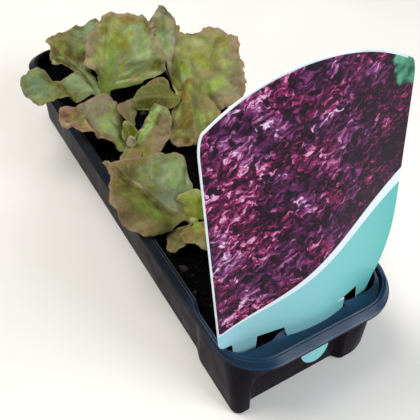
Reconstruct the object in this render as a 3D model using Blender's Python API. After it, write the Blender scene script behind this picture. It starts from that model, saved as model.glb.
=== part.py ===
"""Young lollo rosso lettuce plants in a strip tray with a picture label.

The object stands on z = 0 with its origin at the middle of the tray's base.
The long side of the tray runs along Y, the label stands at the -Y end.
Sizes below are in millimetres and are turned into metres when a mesh is made.
"""

import math

import bmesh
import bpy
from mathutils import Vector

MM = 0.001
GAP = 0.3

# Tray
TRAY_HALF_WIDTH = 52.7
TRAY_HALF_LENGTH = 153.5
TRAY_HEIGHT = 50.0
WALL = 1.0
WALL_HALF_WIDTH = 46.7
BASE_HALF_WIDTH = 46.0
END_WIDENING = 2.5
LEDGE_HEIGHT = 46.0
LEDGE_OUTER_Y = 146.6
LEDGE_INNER_Y = 138.6
NEAR_RIM_CORNER = 26.0
FAR_RIM_CORNER = 18.0
WALL_CORNER = 14.0
FOOT_CORNER = 5.0
FOOT_Y = 147.2
CORNER_STEPS = 5
LONG_LINE = ((70.0, 0.0), (-15.0, 0.0), (-101.0, 0.0), (-105.0, 0.5), (-109.0, 1.0), (-113.0, 1.0))
END_POINTS = 11
FEET_LINE = ((-40.5, 0), (-36.5, 1), (-30, 1), (-22, 1), (-14, 1), (-6, 1), (2, 1), (10, 1),
             (17, 1), (22, 0), (24.5, 0))
ALCOVE_LINE = ((-29, 0), (-25, 0), (-18.5, 1), (-12, 1), (-5, 1), (2, 1), (9, 1), (15, 1),
               (21.5, 1), (28, 0), (31, 0))
TONGUE_MIDDLE = 1.5
DRAIN_RADIUS = 4.0
DRAIN_X = 22.0
DRAIN_ROWS = (-105.0, -35.0, 35.0, 105.0)

# Compost
COMPOST_TOP = 40.5
COMPOST_BOTTOM = WALL + GAP
COMPOST_NEAR_Y = 135.6
COMPOST_FAR_Y = 139.5
COMPOST_HALF_WIDTH = 44.6

# Label card
CARD_THICKNESS = 0.6
CARD_MIDDLE = -0.3
CARD_HALF_WIDTH = 52.2
CARD_TOP = 141.4
CARD_ARCH_FALL = 17.0
CARD_CORNER = 9.0
CARD_LEAN = 8.0
CARD_TWIST = 2.1
CARD_FOOT_Y = -133.3
CARD_BOW = 7.6
CARD_BOW_REACH = 52.0
TONGUE_HALF_WIDTH = 18.0
TONGUE_DEPTH = 36.0
TAB_DEPTH = 9.0
SLIT_WIDTH = 1.8

# Plants
BLADE = 0.7
CROWN_HEIGHT = 42.0
STEM_RADIUS = 3.2
STEM_FOOT = 34.0
STEM_TOP = 44.5
STEM_SIDES = 10
LEAF_START = 1.3
LEAF_LEVEL_STEP = 0.45
LEAF_ALONG = 8
LEAF_ACROSS = 6

LEAF_DEFAULTS = {
    "sweep": 0.0,
    "roll": 0.0,
    "widest": 0.55,
    "widest_right": None,
    "lean_left": 0.0,
    "fold": 0.0,
    "ear": 0.05,
    "stalk": 0.13,
    "blunt": 0.35,
    "bend": 1.3,
    "ruffle": 2.0,
    "waves": 5,
    "phase": 0.3,
}

# Each leaf: heading from +X in degrees, length and width, starting rise and
# total fall of the midrib in degrees, then what differs from the usual leaf.
PLANTS = {
    "lettuce_left_front": {
        "crown": (-18.5, -48.0),
        "leaves": (
            dict(heading=133, length=60, width=60, rise=39, fall=45, sweep=-16, roll=4,
                 widest=0.42, widest_right=0.3, lean_left=-0.04, ear=0.08),
            dict(heading=248, length=28, width=22, rise=45, fall=85, ruffle=1.2, waves=4),
            dict(heading=213, length=28, width=15, rise=15, fall=20, ruffle=0.8, waves=3),
            dict(heading=5, length=22, width=18, rise=62, fall=20, ruffle=0.8, waves=3),
        ),
    },
    "lettuce_left_middle": {
        "crown": (-22.5, 26.0),
        "leaves": (
            dict(heading=142, length=51, width=38, rise=45, fall=48, roll=8, widest=0.5,
                 lean_left=-0.6, ruffle=1.6),
            dict(heading=0, length=47, width=36, rise=48, fall=25, sweep=50, fold=8,
                 roll=-14, widest=0.85, widest_right=0.45, stalk=0.2, bend=2.5,
                 lean_left=-0.2, ruffle=0.8, waves=3),
            dict(heading=66, length=32, width=14, rise=55, fall=30, ruffle=0.8, waves=4),
            dict(heading=85, length=17, width=9, rise=70, fall=20, ruffle=0.5, waves=3),
        ),
    },
    "lettuce_left_back": {
        "crown": (-16.5, 86.0),
        "leaves": (
            dict(heading=170, length=57, width=40, rise=40, fall=50, roll=12, widest=0.75,
                 lean_left=-0.05, ruffle=1.4, waves=4),
            dict(heading=60, length=58, width=62, rise=60, fall=38, widest=0.6, fold=6,
                 widest_right=0.5, lean_left=-0.42, ear=0.12, blunt=0.25, ruffle=2.2),
            dict(heading=114, length=60, width=46, rise=40, fall=36, widest=0.65,
                 lean_left=-0.2, ruffle=1.8, waves=4),
        ),
    },
    "lettuce_right_middle": {
        "crown": (28.5, 52.0),
        "leaves": (
            dict(heading=8, length=64, width=76, rise=58, fall=45, ear=0.2, waves=7,
                 widest_right=0.42),
            dict(heading=252, length=66, width=40, rise=85, fall=150, bend=0.9, fold=-8,
                 ruffle=1.4, waves=4),
            dict(heading=86, length=68, width=26, rise=60, fall=8, widest=0.72,
                 blunt=0.65, ruffle=0.8, waves=3),
        ),
    },
    "lettuce_right_back": {
        "crown": (27.0, 112.0),
        "leaves": (
            dict(heading=20, length=40, width=34, rise=40, fall=45, ruffle=1.5),
            dict(heading=95, length=38, width=30, rise=38, fall=40, ruffle=1.5),
            dict(heading=300, length=26, width=20, rise=35, fall=40, ruffle=1.0),
        ),
    },
    "lettuce_right_front": {
        "crown": (32.0, -28.0),
        "leaves": (
            dict(heading=5, length=48, width=44, rise=42, fall=50),
            dict(heading=60, length=32, width=26, rise=50, fall=35, ruffle=1.2),
            dict(heading=255, length=40, width=34, rise=45, fall=60, ruffle=1.6),
            dict(heading=310, length=46, width=40, rise=42, fall=50),
            dict(heading=165, length=24, width=16, rise=55, fall=40, ruffle=0.8, waves=3),
        ),
    },
    "lettuce_near_label": {
        "crown": (12.0, -96.0),
        "leaves": (
            dict(heading=20, length=44, width=38, rise=45, fall=50, ruffle=1.6),
            dict(heading=95, length=34, width=28, rise=50, fall=40, ruffle=1.2),
            dict(heading=160, length=38, width=32, rise=45, fall=55, ruffle=1.4),
            dict(heading=235, length=26, width=20, rise=50, fall=60, ruffle=0.8),
            dict(heading=300, length=28, width=22, rise=50, fall=60, ruffle=0.8),
        ),
    },
}


def remove_old_objects():
    for old in list(bpy.data.objects):
        bpy.data.objects.remove(old, do_unlink=True)


def plain_material(name, colour, roughness):
    material = bpy.data.materials.new(name)
    material.use_nodes = True
    shader = material.node_tree.nodes["Principled BSDF"]
    shader.inputs["Base Color"].default_value = (*colour, 1.0)
    shader.inputs["Roughness"].default_value = roughness
    shader.inputs["Metallic"].default_value = 0.0
    return material


def object_from(bm, name, material):
    """Turn a bmesh in millimetres into an object in metres."""
    bmesh.ops.recalc_face_normals(bm, faces=bm.faces)
    bmesh.ops.scale(bm, vec=(MM, MM, MM), verts=bm.verts)
    mesh = bpy.data.meshes.new(name)
    bm.to_mesh(mesh)
    bm.free()
    piece = bpy.data.objects.new(name, mesh)
    bpy.context.scene.collection.objects.link(piece)
    piece.data.materials.append(material)
    return piece


def boolean_with(piece, others, operation):
    """Join or cut a piece with other objects, apply it and drop the others."""
    group = bpy.data.collections.new(piece.name + "_" + operation.lower())
    for other in others:
        group.objects.link(other)
    modifier = piece.modifiers.new(operation.lower(), "BOOLEAN")
    modifier.operation = operation
    modifier.operand_type = "COLLECTION"
    modifier.collection = group
    modifier.solver = "MANIFOLD"
    depsgraph = bpy.context.evaluated_depsgraph_get()
    joined = bpy.data.meshes.new_from_object(piece.evaluated_get(depsgraph))
    piece.modifiers.clear()
    piece.data = joined
    for other in others:
        bpy.data.objects.remove(other, do_unlink=True)
    bpy.data.collections.remove(group)


def keep_main_body(piece):
    """Drop what a union leaves loose, and fill the small hollows that it seals."""
    bm = bmesh.new()
    bm.from_mesh(piece.data)
    unseen = set(bm.faces)
    bodies = []
    while unseen:
        start = unseen.pop()
        body = [start]
        for face in body:
            for edge in face.edges:
                for neighbour in edge.link_faces:
                    if neighbour in unseen:
                        unseen.remove(neighbour)
                        body.append(neighbour)
        bodies.append(body)
    bodies.sort(key=len)
    for body in bodies[:-1]:
        bmesh.ops.delete(bm, geom=body, context="FACES")
    bm.to_mesh(piece.data)
    bm.free()


def ease(value):
    value = min(max(value, 0.0), 1.0)
    return value * value * (3.0 - 2.0 * value)


def cylinder(name, x, y, low, high, radius, sides, material):
    bm = bmesh.new()
    bmesh.ops.create_cone(bm, cap_ends=True, segments=sides, radius1=radius,
                          radius2=radius, depth=high - low)
    bmesh.ops.translate(bm, verts=bm.verts, vec=(x, y, (low + high) / 2))
    return object_from(bm, name, material)


def tray_ring(half_width, near, far, corners, height, widen=True, set_back=0.0, line=None):
    """One outline of the tray, anticlockwise from the far end of the right side.

    corners are the radii at the far end, the near left and the near right; line
    says where the near end wall is set back between its feet or for the label.
    """
    near_half = half_width + (END_WIDENING if widen else 0.0)
    far_corner, left_corner, right_corner = corners
    places = (
        (half_width, far, far_corner, 0.0),
        (-half_width, far, far_corner, 90.0),
        (-near_half, -near, left_corner, 180.0),
        (near_half, -near, right_corner, 270.0),
    )
    arcs = []
    for x, y, radius, start in places:
        middle_x = x - math.copysign(radius, x)
        middle_y = y - math.copysign(radius, y)
        arcs.append(arc_points(middle_x, middle_y, radius, radius, start, start + 90.0,
                               CORNER_STEPS))
    spread = (near_half - half_width) if widen else 0.0
    left_side = [(-half_width - spread * step, y) for y, step in LONG_LINE]
    right_side = [(half_width + spread * step, y) for y, step in reversed(LONG_LINE)]
    far_end = evenly_between(arcs[0][-1], arcs[1][0])
    near_end = evenly_between(arcs[2][-1], arcs[3][0])
    if line:
        near_end = [(x, -near + set_back * share) for x, share in line]
    outline = arcs[0] + far_end + arcs[1] + left_side + arcs[2] + near_end + arcs[3] + right_side
    return [Vector((x, y, height)) for x, y in outline]


def evenly_between(start, end):
    points = []
    for step in range(1, END_POINTS + 1):
        share = step / (END_POINTS + 1)
        points.append((start[0] + (end[0] - start[0]) * share,
                       start[1] + (end[1] - start[1]) * share))
    return points


def sweep_rings(bm, rings):
    """Extrude one closed outline through the others and cap both ends."""
    ring = [bm.verts.new(point) for point in rings[0]]
    bm.faces.new(ring)
    edges = list(bm.edges)
    for points in rings[1:]:
        made = bmesh.ops.extrude_edge_only(bm, edges=edges)["geom"]
        new_verts = {item for item in made if isinstance(item, bmesh.types.BMVert)}
        following = []
        for vert, point in zip(ring, points):
            partner = next(edge.other_vert(vert) for edge in vert.link_edges
                           if edge.other_vert(vert) in new_verts)
            partner.co = point
            following.append(partner)
        edges = [item for item in made if isinstance(item, bmesh.types.BMEdge)
                 and item.verts[0] in new_verts and item.verts[1] in new_verts]
        ring = following
    bm.faces.new(ring)


def make_tray(material):
    base = BASE_HALF_WIDTH
    wall = WALL_HALF_WIDTH
    rim = TRAY_HALF_WIDTH
    end = TRAY_HALF_LENGTH
    foot = FOOT_CORNER
    lip = (FAR_RIM_CORNER, NEAR_RIM_CORNER, NEAR_RIM_CORNER)
    lip_inset = (FAR_RIM_CORNER - 0.8, NEAR_RIM_CORNER - 0.8, NEAR_RIM_CORNER - 0.8)
    bead = (16.5, 23.0, 23.0)
    outside = (WALL_CORNER, WALL_CORNER, WALL_CORNER)
    inside = (WALL_CORNER - WALL, WALL_CORNER - WALL, WALL_CORNER - WALL)
    rings = [
        tray_ring(base - 0.4, FOOT_Y - 0.8, 145.2, (13.2, foot, 21.2), 0.0, True, 4.2, FEET_LINE),
        tray_ring(base + 0.4, FOOT_Y, 146.0, (14.0, foot, 22.0), 1.4, True, 4.2, FEET_LINE),
        tray_ring(base + 0.5, 145.6, 146.6, (14.0, 8.0, 19.0), 20.0, True, 3.8, FEET_LINE),
        tray_ring(wall, 143.4, 148.4, outside, 44.0, True, 5.2, ALCOVE_LINE),
        tray_ring(wall, 143.4, 148.4, outside, 45.0, True, 5.2, ALCOVE_LINE),
        tray_ring(rim - 0.8, end - 0.8, end - 0.8, lip_inset, 45.6, False),
        tray_ring(rim, end, end, lip, 45.4, False),
        tray_ring(rim, end, end, lip, 46.6, False),
        tray_ring(rim - 0.8, end - 0.8, end - 0.8, lip_inset, 47.0, False),
        tray_ring(49.0, 149.9, 150.2, bead, 49.6),
        tray_ring(48.6, 149.5, 149.8, bead, TRAY_HEIGHT),
        tray_ring(47.9, 148.8, 149.1, (16.0, 22.4, 22.4), 49.1),
        tray_ring(47.2, 148.1, 148.4, (15.5, 21.8, 21.8), TRAY_HEIGHT),
        tray_ring(46.7, 147.5, 147.8, (15.0, 21.2, 21.2), 49.6),
        tray_ring(46.4, LEDGE_OUTER_Y, 147.6, (14.6, 20.8, 20.8), LEDGE_HEIGHT),
        tray_ring(45.9, LEDGE_INNER_Y, 147.4, inside, LEDGE_HEIGHT, True, 2.0, ALCOVE_LINE),
        tray_ring(45.9, LEDGE_INNER_Y, 147.4, inside, 45.0, True, 2.0, ALCOVE_LINE),
        tray_ring(wall - WALL, 142.4, 147.3, inside, 43.6, True, 5.2, ALCOVE_LINE),
        tray_ring(base - 0.5, 144.6, 145.6, (13.0, 7.0, 18.0), 20.0, True, 3.8, FEET_LINE),
        tray_ring(base - 0.7, FOOT_Y - 1.1, 144.9, (13.0, 4.2, 20.9), 1.6, True, 4.2, FEET_LINE),
        tray_ring(base - 1.3, FOOT_Y - 1.7, 144.3, (12.4, 4.0, 20.3), WALL, True, 4.2, FEET_LINE),
    ]
    bm = bmesh.new()
    sweep_rings(bm, rings)
    tray = object_from(bm, "tray", material)
    cutters = [slit_cutter(material)]
    for row, y in enumerate(DRAIN_ROWS):
        for side in (-1, 1):
            name = "drain_cutter_%d_%d" % (row, side)
            cutters.append(cylinder(name, side * DRAIN_X, y, -1.0, WALL + 1.0,
                                    DRAIN_RADIUS, 12, material))
    boolean_with(tray, cutters, "DIFFERENCE")
    return tray


def compost_surface(x, y):
    """Loose peat: a low, lumpy surface that dips near the walls and the label."""
    lumps = (0.9 * math.sin(0.11 * x + 0.07 * y + 0.6)
             + 0.7 * math.sin(0.17 * y - 0.13 * x + 2.1)
             + 0.4 * math.sin(0.31 * x + 0.23 * y))
    return COMPOST_TOP + lumps - 2.0 * ease((-99.0 - y) / 30.0)


def make_compost(material):
    """A block of peat that fills the trough, with a plain hole for each stem."""
    bm = bmesh.new()
    made = bmesh.ops.create_grid(bm, x_segments=8, y_segments=24, size=1.0)
    corner = WALL_CORNER - WALL - GAP
    for vert in made["verts"]:
        x = vert.co.x * COMPOST_HALF_WIDTH
        middle = (COMPOST_FAR_Y - COMPOST_NEAR_Y) / 2
        y = middle + vert.co.y * (COMPOST_FAR_Y + COMPOST_NEAR_Y) / 2
        end = COMPOST_FAR_Y if y > 0 else COMPOST_NEAR_Y
        over = max(0.0, abs(y) - (end - corner)) / corner
        inset = corner * (1.0 - math.sqrt(max(0.0, 1.0 - over * over)))
        x *= (COMPOST_HALF_WIDTH - inset) / COMPOST_HALF_WIDTH
        vert.co = (x, y, compost_surface(x, y))
    made = bmesh.ops.extrude_face_region(bm, geom=list(bm.faces))["geom"]
    for item in made:
        if isinstance(item, bmesh.types.BMVert):
            item.co.x *= (BASE_HALF_WIDTH - 2.0) / COMPOST_HALF_WIDTH
            item.co.z = COMPOST_BOTTOM
    lower = [item for item in made if isinstance(item, bmesh.types.BMFace)]
    edges = {edge for face in lower for edge in face.edges}
    bmesh.ops.dissolve_limit(bm, angle_limit=0.001, edges=list(edges),
                             verts=list({vert for face in lower for vert in face.verts}))
    compost = object_from(bm, "compost", material)
    cutters = []
    for name, plant in PLANTS.items():
        x, y = plant["crown"]
        cutters.append(cylinder(name + "_hole", x, y, STEM_FOOT - GAP, 60.0,
                                STEM_RADIUS + GAP, STEM_SIDES, material))
    boolean_with(compost, cutters, "DIFFERENCE")
    return compost


def card_point(x, height, offset=0.0):
    """Where a point of the flat label lies once it is bowed and leans back.

    x is across the label, height is along it from the foot, offset is in front.
    """
    lean = math.radians(CARD_LEAN)
    reach = max(-1.0, min(1.0, (x - TONGUE_MIDDLE) / CARD_BOW_REACH))
    fading = 1.0 - 0.75 * ease(height / 100.0)
    bow = CARD_BOW * math.cos(math.pi / 2 * reach) ** 2 * fading
    slope = (CARD_BOW * fading * math.pi / (2 * CARD_BOW_REACH)
             * math.sin(math.pi * reach))
    turn = math.atan(slope)
    y = CARD_FOOT_Y - bow + height * math.sin(lean)
    return Vector((
        x - offset * math.sin(turn),
        y - offset * math.cos(turn) * math.cos(lean),
        TRAY_HEIGHT + height * math.cos(lean) - offset * math.sin(lean),
    ))


def arc_points(middle_x, middle_y, radius_x, radius_y, start, end, steps):
    points = []
    for step in range(steps + 1):
        angle = math.radians(start + (end - start) * step / steps)
        points.append((middle_x + radius_x * math.cos(angle),
                       middle_y + radius_y * math.sin(angle)))
    return points


def card_arch(x):
    return CARD_TOP - CARD_ARCH_FALL * ((x - CARD_MIDDLE) / CARD_HALF_WIDTH) ** 2


def card_outline():
    """The label's flat outline, anticlockwise from its left tab, and its corners."""
    left = CARD_MIDDLE - CARD_HALF_WIDTH
    right = CARD_MIDDLE + CARD_HALF_WIDTH
    tongue_left = TONGUE_MIDDLE - TONGUE_HALF_WIDTH
    tongue_right = TONGUE_MIDDLE + TONGUE_HALF_WIDTH
    outline = [(-45.2, 1.0), (-44.4, -TAB_DEPTH), (-33.0, -TAB_DEPTH), (-32.0, 1.0)]
    outline += [(tongue_left - 1.5, 2.4), (tongue_left, -3.4)]
    outline += [(tongue_left + 1.0, -8.0), (TONGUE_MIDDLE - 9.0, -26.0)]
    outline += arc_points(TONGUE_MIDDLE, -26.0, 9.0, TONGUE_DEPTH - 26.0, 200.0, 340.0, 6)
    outline += [(TONGUE_MIDDLE + 9.0, -26.0), (tongue_right - 1.0, -8.0), (tongue_right, 1.5)]
    outline += [(tongue_right - 6.0, 3.0), (29.0, 3.4), (30.0, -TAB_DEPTH + 1.0)]
    outline += [(37.5, -TAB_DEPTH + 1.5)]
    outline += arc_points(37.5, 48.0, right - 37.5, 48.0, -72.0, 0.0, 8)
    outline.append((right, card_arch(right)))
    steps = 14
    for step in range(1, steps):
        x = right + (left - right) * step / steps
        outline.append((x, card_arch(x)))
    outline.append((left, card_arch(left)))
    outline += arc_points(left + 4.0, 5.0, 4.0, 4.0, 180.0, 260.0, 3)
    turn = math.tan(math.radians(CARD_TWIST))
    return [(x - turn * max(0.0, y - 30.0), y) for x, y in outline]


def make_label(material):
    """A thin bowed card with two tabs and a middle tongue, cut in strips to bend."""
    bm = bmesh.new()
    verts = [bm.verts.new((x, height, 0.0)) for x, height in card_outline()]
    bm.faces.new(verts)
    top_corners = [vert for vert in verts if vert.co.y > 100.0
                   and abs(vert.co.x + 3.5) > CARD_HALF_WIDTH - 4.0]
    bmesh.ops.bevel(bm, geom=top_corners, offset=CARD_CORNER, segments=5, profile=0.5,
                    affect="VERTICES")
    for x in range(-49, 56, 7):
        bisect(bm, (x, 0.0, 0.0), (1.0, 0.0, 0.0))
    for height in range(-20, 140, 20):
        bisect(bm, (0.0, height, 0.0), (0.0, 1.0, 0.0))
    bmesh.ops.triangulate(bm, faces=bm.faces)
    front = list(bm.faces)
    made = bmesh.ops.extrude_face_region(bm, geom=front)["geom"]
    back = {item for item in made if isinstance(item, bmesh.types.BMVert)}
    for vert in bm.verts:
        side = -CARD_THICKNESS / 2 if vert in back else CARD_THICKNESS / 2
        vert.co = card_point(vert.co.x, vert.co.y, side)
    return object_from(bm, "label_card", material)


def bisect(bm, point, normal):
    everything = list(bm.verts) + list(bm.edges) + list(bm.faces)
    bmesh.ops.bisect_plane(bm, geom=everything, dist=0.01, plane_co=point, plane_no=normal)


def slit_cutter(material):
    """A thin curved block where the label's tongue drops through the ledge."""
    bm = bmesh.new()
    bmesh.ops.create_grid(bm, x_segments=12, y_segments=1, size=1.0)
    half = TONGUE_HALF_WIDTH + 0.8
    for vert in bm.verts:
        x = TONGUE_MIDDLE + vert.co.x * half
        offset = vert.co.y * SLIT_WIDTH / 2
        place = card_point(x, (LEDGE_HEIGHT - TRAY_HEIGHT) / math.cos(math.radians(CARD_LEAN)),
                           -offset)
        vert.co = (place.x, place.y, LEDGE_HEIGHT - 3.0)
    made = bmesh.ops.extrude_face_region(bm, geom=list(bm.faces))["geom"]
    moved = [item for item in made if isinstance(item, bmesh.types.BMVert)]
    bmesh.ops.translate(bm, verts=moved, vec=(0.0, 0.0, 5.0))
    return object_from(bm, "slit_cutter", material)


def leaf_place(leaf, crown, along, across):
    """Where a point of a leaf lies; along is 0 to 1, across is -1 (left) to 1."""
    widest = leaf["widest"]
    if across > 0 and leaf["widest_right"]:
        widest = leaf["widest_right"]
    petiole = 0.12
    if along < widest:
        share = leaf["stalk"] + (1 - leaf["stalk"]) * ease((along - petiole) / (widest - petiole))
    else:
        share = 1 - leaf["blunt"] * ((along - widest) / (1 - widest)) ** 2
    half = leaf["width"] / 2
    lean = leaf["lean_left"] if across < 0 else -leaf["lean_left"]
    side = half * share * across * (1 + lean)
    opening = ease((along - petiole) / 0.3)
    reach = along * (1 - 0.25 * (across * along) ** 2)
    reach = max(0.0, reach - leaf["ear"] * across ** 2 * opening * (1 - along))
    middle, direction = midrib(leaf, crown, reach)
    right = direction.cross(Vector((0, 0, 1))).normalized()
    up = right.cross(direction)
    roll = math.radians(leaf["roll"]) * ease(reach / 0.35)
    rolled_right = math.cos(roll) * right + math.sin(roll) * up
    rolled_up = math.cos(roll) * up - math.sin(roll) * right
    fold = math.radians(leaf["fold"])
    around = math.atan2(side / half, (reach - 0.45) / 0.5)
    edge = ease((max(abs(across), (along - 0.3) / 0.7) - 0.25) / 0.75)
    wave = leaf["ruffle"] * edge * opening * math.sin(leaf["waves"] * around + leaf["phase"])
    return (middle + rolled_right * side * math.cos(fold)
            + rolled_up * (abs(side) * math.sin(fold) + wave))


def midrib(leaf, crown, reach):
    """The point and direction of the leaf's midrib at a share of its length."""
    steps = 24
    start = math.radians(leaf["heading"])
    point = Vector((crown[0] + LEAF_START * math.cos(start),
                    crown[1] + LEAF_START * math.sin(start),
                    CROWN_HEIGHT + leaf["level"]))
    direction = Vector((1, 0, 0))
    for step in range(steps):
        share = reach * (step + 0.5) / steps
        rise = math.radians(leaf["rise"] - leaf["fall"] * share ** leaf["bend"])
        heading = math.radians(leaf["heading"] + leaf["sweep"] * share)
        direction = Vector((math.cos(rise) * math.cos(heading),
                            math.cos(rise) * math.sin(heading),
                            math.sin(rise)))
        point = point + direction * (leaf["length"] * reach / steps)
    return point, direction


def make_leaf(name, leaf, crown, material):
    bm = bmesh.new()
    bmesh.ops.create_grid(bm, x_segments=LEAF_ACROSS, y_segments=LEAF_ALONG, size=1.0)
    for vert in bm.verts:
        vert.co = leaf_place(leaf, crown, (vert.co.y + 1) / 2, vert.co.x)
    bmesh.ops.triangulate(bm, faces=bm.faces)
    blade = object_from(bm, name, material)
    solidify = blade.modifiers.new("blade", "SOLIDIFY")
    solidify.thickness = BLADE * MM
    solidify.offset = 0.0
    return blade


def make_plant(name, plant, material):
    """A short stem with its leaves, joined into one body."""
    x, y = plant["crown"]
    stem = cylinder(name, x, y, STEM_FOOT, STEM_TOP, STEM_RADIUS, STEM_SIDES, material)
    leaves = []
    for number, values in enumerate(plant["leaves"]):
        leaf = {**LEAF_DEFAULTS, **values, "level": number * LEAF_LEVEL_STEP}
        leaves.append(make_leaf("%s_leaf_%d" % (name, number), leaf, (x, y), material))
    boolean_with(stem, leaves, "UNION")
    keep_main_body(stem)
    return stem


def main():
    remove_old_objects()
    tray_plastic = plain_material("tray_plastic", (0.010, 0.018, 0.045), 0.35)
    peat = plain_material("peat", (0.012, 0.009, 0.008), 0.95)
    card = plain_material("printed_card", (0.24, 0.10, 0.20), 0.35)
    leaf = plain_material("lettuce_leaf", (0.26, 0.30, 0.12), 0.5)
    make_tray(tray_plastic)
    make_compost(peat)
    make_label(card)
    for name, plant in PLANTS.items():
        make_plant(name, plant, leaf)
    for piece in bpy.data.objects:
        piece.data.shade_smooth()
        piece.data.set_sharp_from_angle(angle=math.radians(40))


if __name__ == "__main__":
    main()
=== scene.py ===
"""Looks of a strip tray of young lollo rosso lettuce plants with a picture label.

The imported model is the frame: its origin is the middle of the tray's base, the
long side runs along Y and the label stands at the -Y end. Shapes are in
millimetres and become metres when a piece is finished; settings, lights and what
the materials say are in metres.
"""

import math
import random
from functools import partial

import bmesh
import bpy
from bpy.props import FloatProperty, FloatVectorProperty, IntProperty, PointerProperty
from mathutils import Matrix, Vector, noise


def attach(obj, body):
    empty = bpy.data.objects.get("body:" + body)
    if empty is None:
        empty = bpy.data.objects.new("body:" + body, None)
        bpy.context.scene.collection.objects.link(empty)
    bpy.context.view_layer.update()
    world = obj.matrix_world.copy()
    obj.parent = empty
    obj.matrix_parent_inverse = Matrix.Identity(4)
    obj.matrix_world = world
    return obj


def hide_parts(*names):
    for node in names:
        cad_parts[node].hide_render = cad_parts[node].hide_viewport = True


bl_info = {
    "name": "Lettuce strip tray",
    "version": (1, 0, 0),
    "blender": (4, 5, 0),
    "location": "3D View > Sidebar > Lettuce tray",
    "description": "Makes a strip tray of young lollo rosso lettuce plants with its label",
    "category": "Add Mesh",
}

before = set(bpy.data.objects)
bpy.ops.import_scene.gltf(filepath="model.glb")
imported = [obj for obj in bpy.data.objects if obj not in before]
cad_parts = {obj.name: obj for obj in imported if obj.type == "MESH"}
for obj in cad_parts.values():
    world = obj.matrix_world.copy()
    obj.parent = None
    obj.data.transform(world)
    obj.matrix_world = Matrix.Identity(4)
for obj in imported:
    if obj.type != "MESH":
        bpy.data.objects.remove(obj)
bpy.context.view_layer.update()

MM = 0.001

# Tray, as in the solids
TRAY_HALF_WIDTH = 52.7
TRAY_HALF_LENGTH = 153.5
TRAY_HEIGHT = 50.0
WALL = 1.0
WALL_HALF_WIDTH = 46.7
BASE_HALF_WIDTH = 46.0
END_WIDENING = 2.5
LEDGE_HEIGHT = 46.0
LEDGE_OUTER_Y = 146.6
LEDGE_INNER_Y = 138.6
NEAR_RIM_CORNER = 26.0
FAR_RIM_CORNER = 18.0
WALL_CORNER = 14.0
FOOT_CORNER = 5.0
FOOT_Y = 147.2
CORNER_STEPS = 14
WIDENING_FROM_Y = -100.0
WIDENING_LENGTH = 10.0
WIDENING_STEPS = 8
SIDE_PLACES = (70.0, 0.0, -60.0, *(WIDENING_FROM_Y - WIDENING_LENGTH * step / WIDENING_STEPS
                                   for step in range(WIDENING_STEPS + 1)), -114.0)
FEET_LINE = ((-40.5, 0), (-36.5, 1), (-22, 1), (2, 1), (17, 1), (22, 0), (24.5, 0))
ALCOVE_LINE = ((-29, 0), (-25, 0), (-18.5, 1), (2, 1), (15, 1), (28, 0), (31, 0))
LINE_STEPS = 5
TONGUE_MIDDLE = 1.5
DRAIN_RADIUS = 4.0
DRAIN_X = 22.0
DRAIN_ROWS = (-105.0, -35.0, 35.0, 105.0)

# Compost, and how far from its middle loose chips and fibres lie
COMPOST_TOP = 40.5
COMPOST_BOTTOM = 1.3
COMPOST_NEAR_Y = 136.6
COMPOST_FAR_Y = 146.6
COMPOST_HALF_WIDTH = 45.2
CHIPS_X = 43.5
CHIPS_Y = (-134.0, 143.0)
FIBRES_X = 38.0
FIBRES_Y = (-128.0, 138.0)
SCATTER_SEED = 11

# Label card
CARD_THICKNESS = 0.6
CARD_MIDDLE = -0.3
CARD_HALF_WIDTH = 52.2
CARD_TOP = 141.4
CARD_ARCH_FALL = 17.0
CARD_CORNER = 9.0
CARD_LEAN = 8.0
CARD_TWIST = 2.1
CARD_TWIST_FROM = 30.0
CARD_FOOT_Y = -133.3
CARD_BOW = 7.6
CARD_BOW_REACH = 52.0
CARD_BOW_FADING = 0.75
CARD_BOW_FADED_AT = 100.0
CARD_STRIP = 3
CARD_ROW = 5
BORDER_FROM = 12.0
TONGUE_HALF_WIDTH = 18.0
TONGUE_DEPTH = 36.0
TAB_DEPTH = 9.0
SLIT_WIDTH = 1.8
SLIT_CLEARANCE = 0.8

# Plants; places along a leaf are shares of its length
CROWN_HEIGHT = 42.0
STEM_RADIUS = 3.2
STEM_FOOT = 34.0
STEM_TOP = 44.5
LEAF_START = 1.3
LEAF_LEVEL_STEP = 0.45
MIDRIB_STEPS = 64
PETIOLE = 0.12
WIDEST = 0.55
BLUNT = 0.35
EAR = 0.05
WAVE_PHASE = 0.3
VEIN_SPACING = 8.5
VEIN_CLIMB = 0.75

# The usual leaf. Sweep turns the midrib over its length; roll and fold tip the blade and
# its halves, in degrees. Stalk is the share of the half width at the foot, bend says
# how late the midrib falls, end how much of it the blade covers. Ruffle is the height
# of the waves round the blade, scallop the strength of the notches in its margin.
# Vivid is the colour of the blotches between the zones' colours.
LEAF_DEFAULTS = dict(
    sweep=0.0, roll=0.0, fold=0.0, stalk=0.13, bend=1.3, end=1.0, ruffle=2.0, waves=5, scallop=1.0,
    foot="#757D3E", left="#73733A", right="#7C8752", tip="#756638", margin="#765946",
    vivid="#8AA03C", margin_width=2.5, start=None, edges=None, patches=(), folds=(),
)

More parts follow.
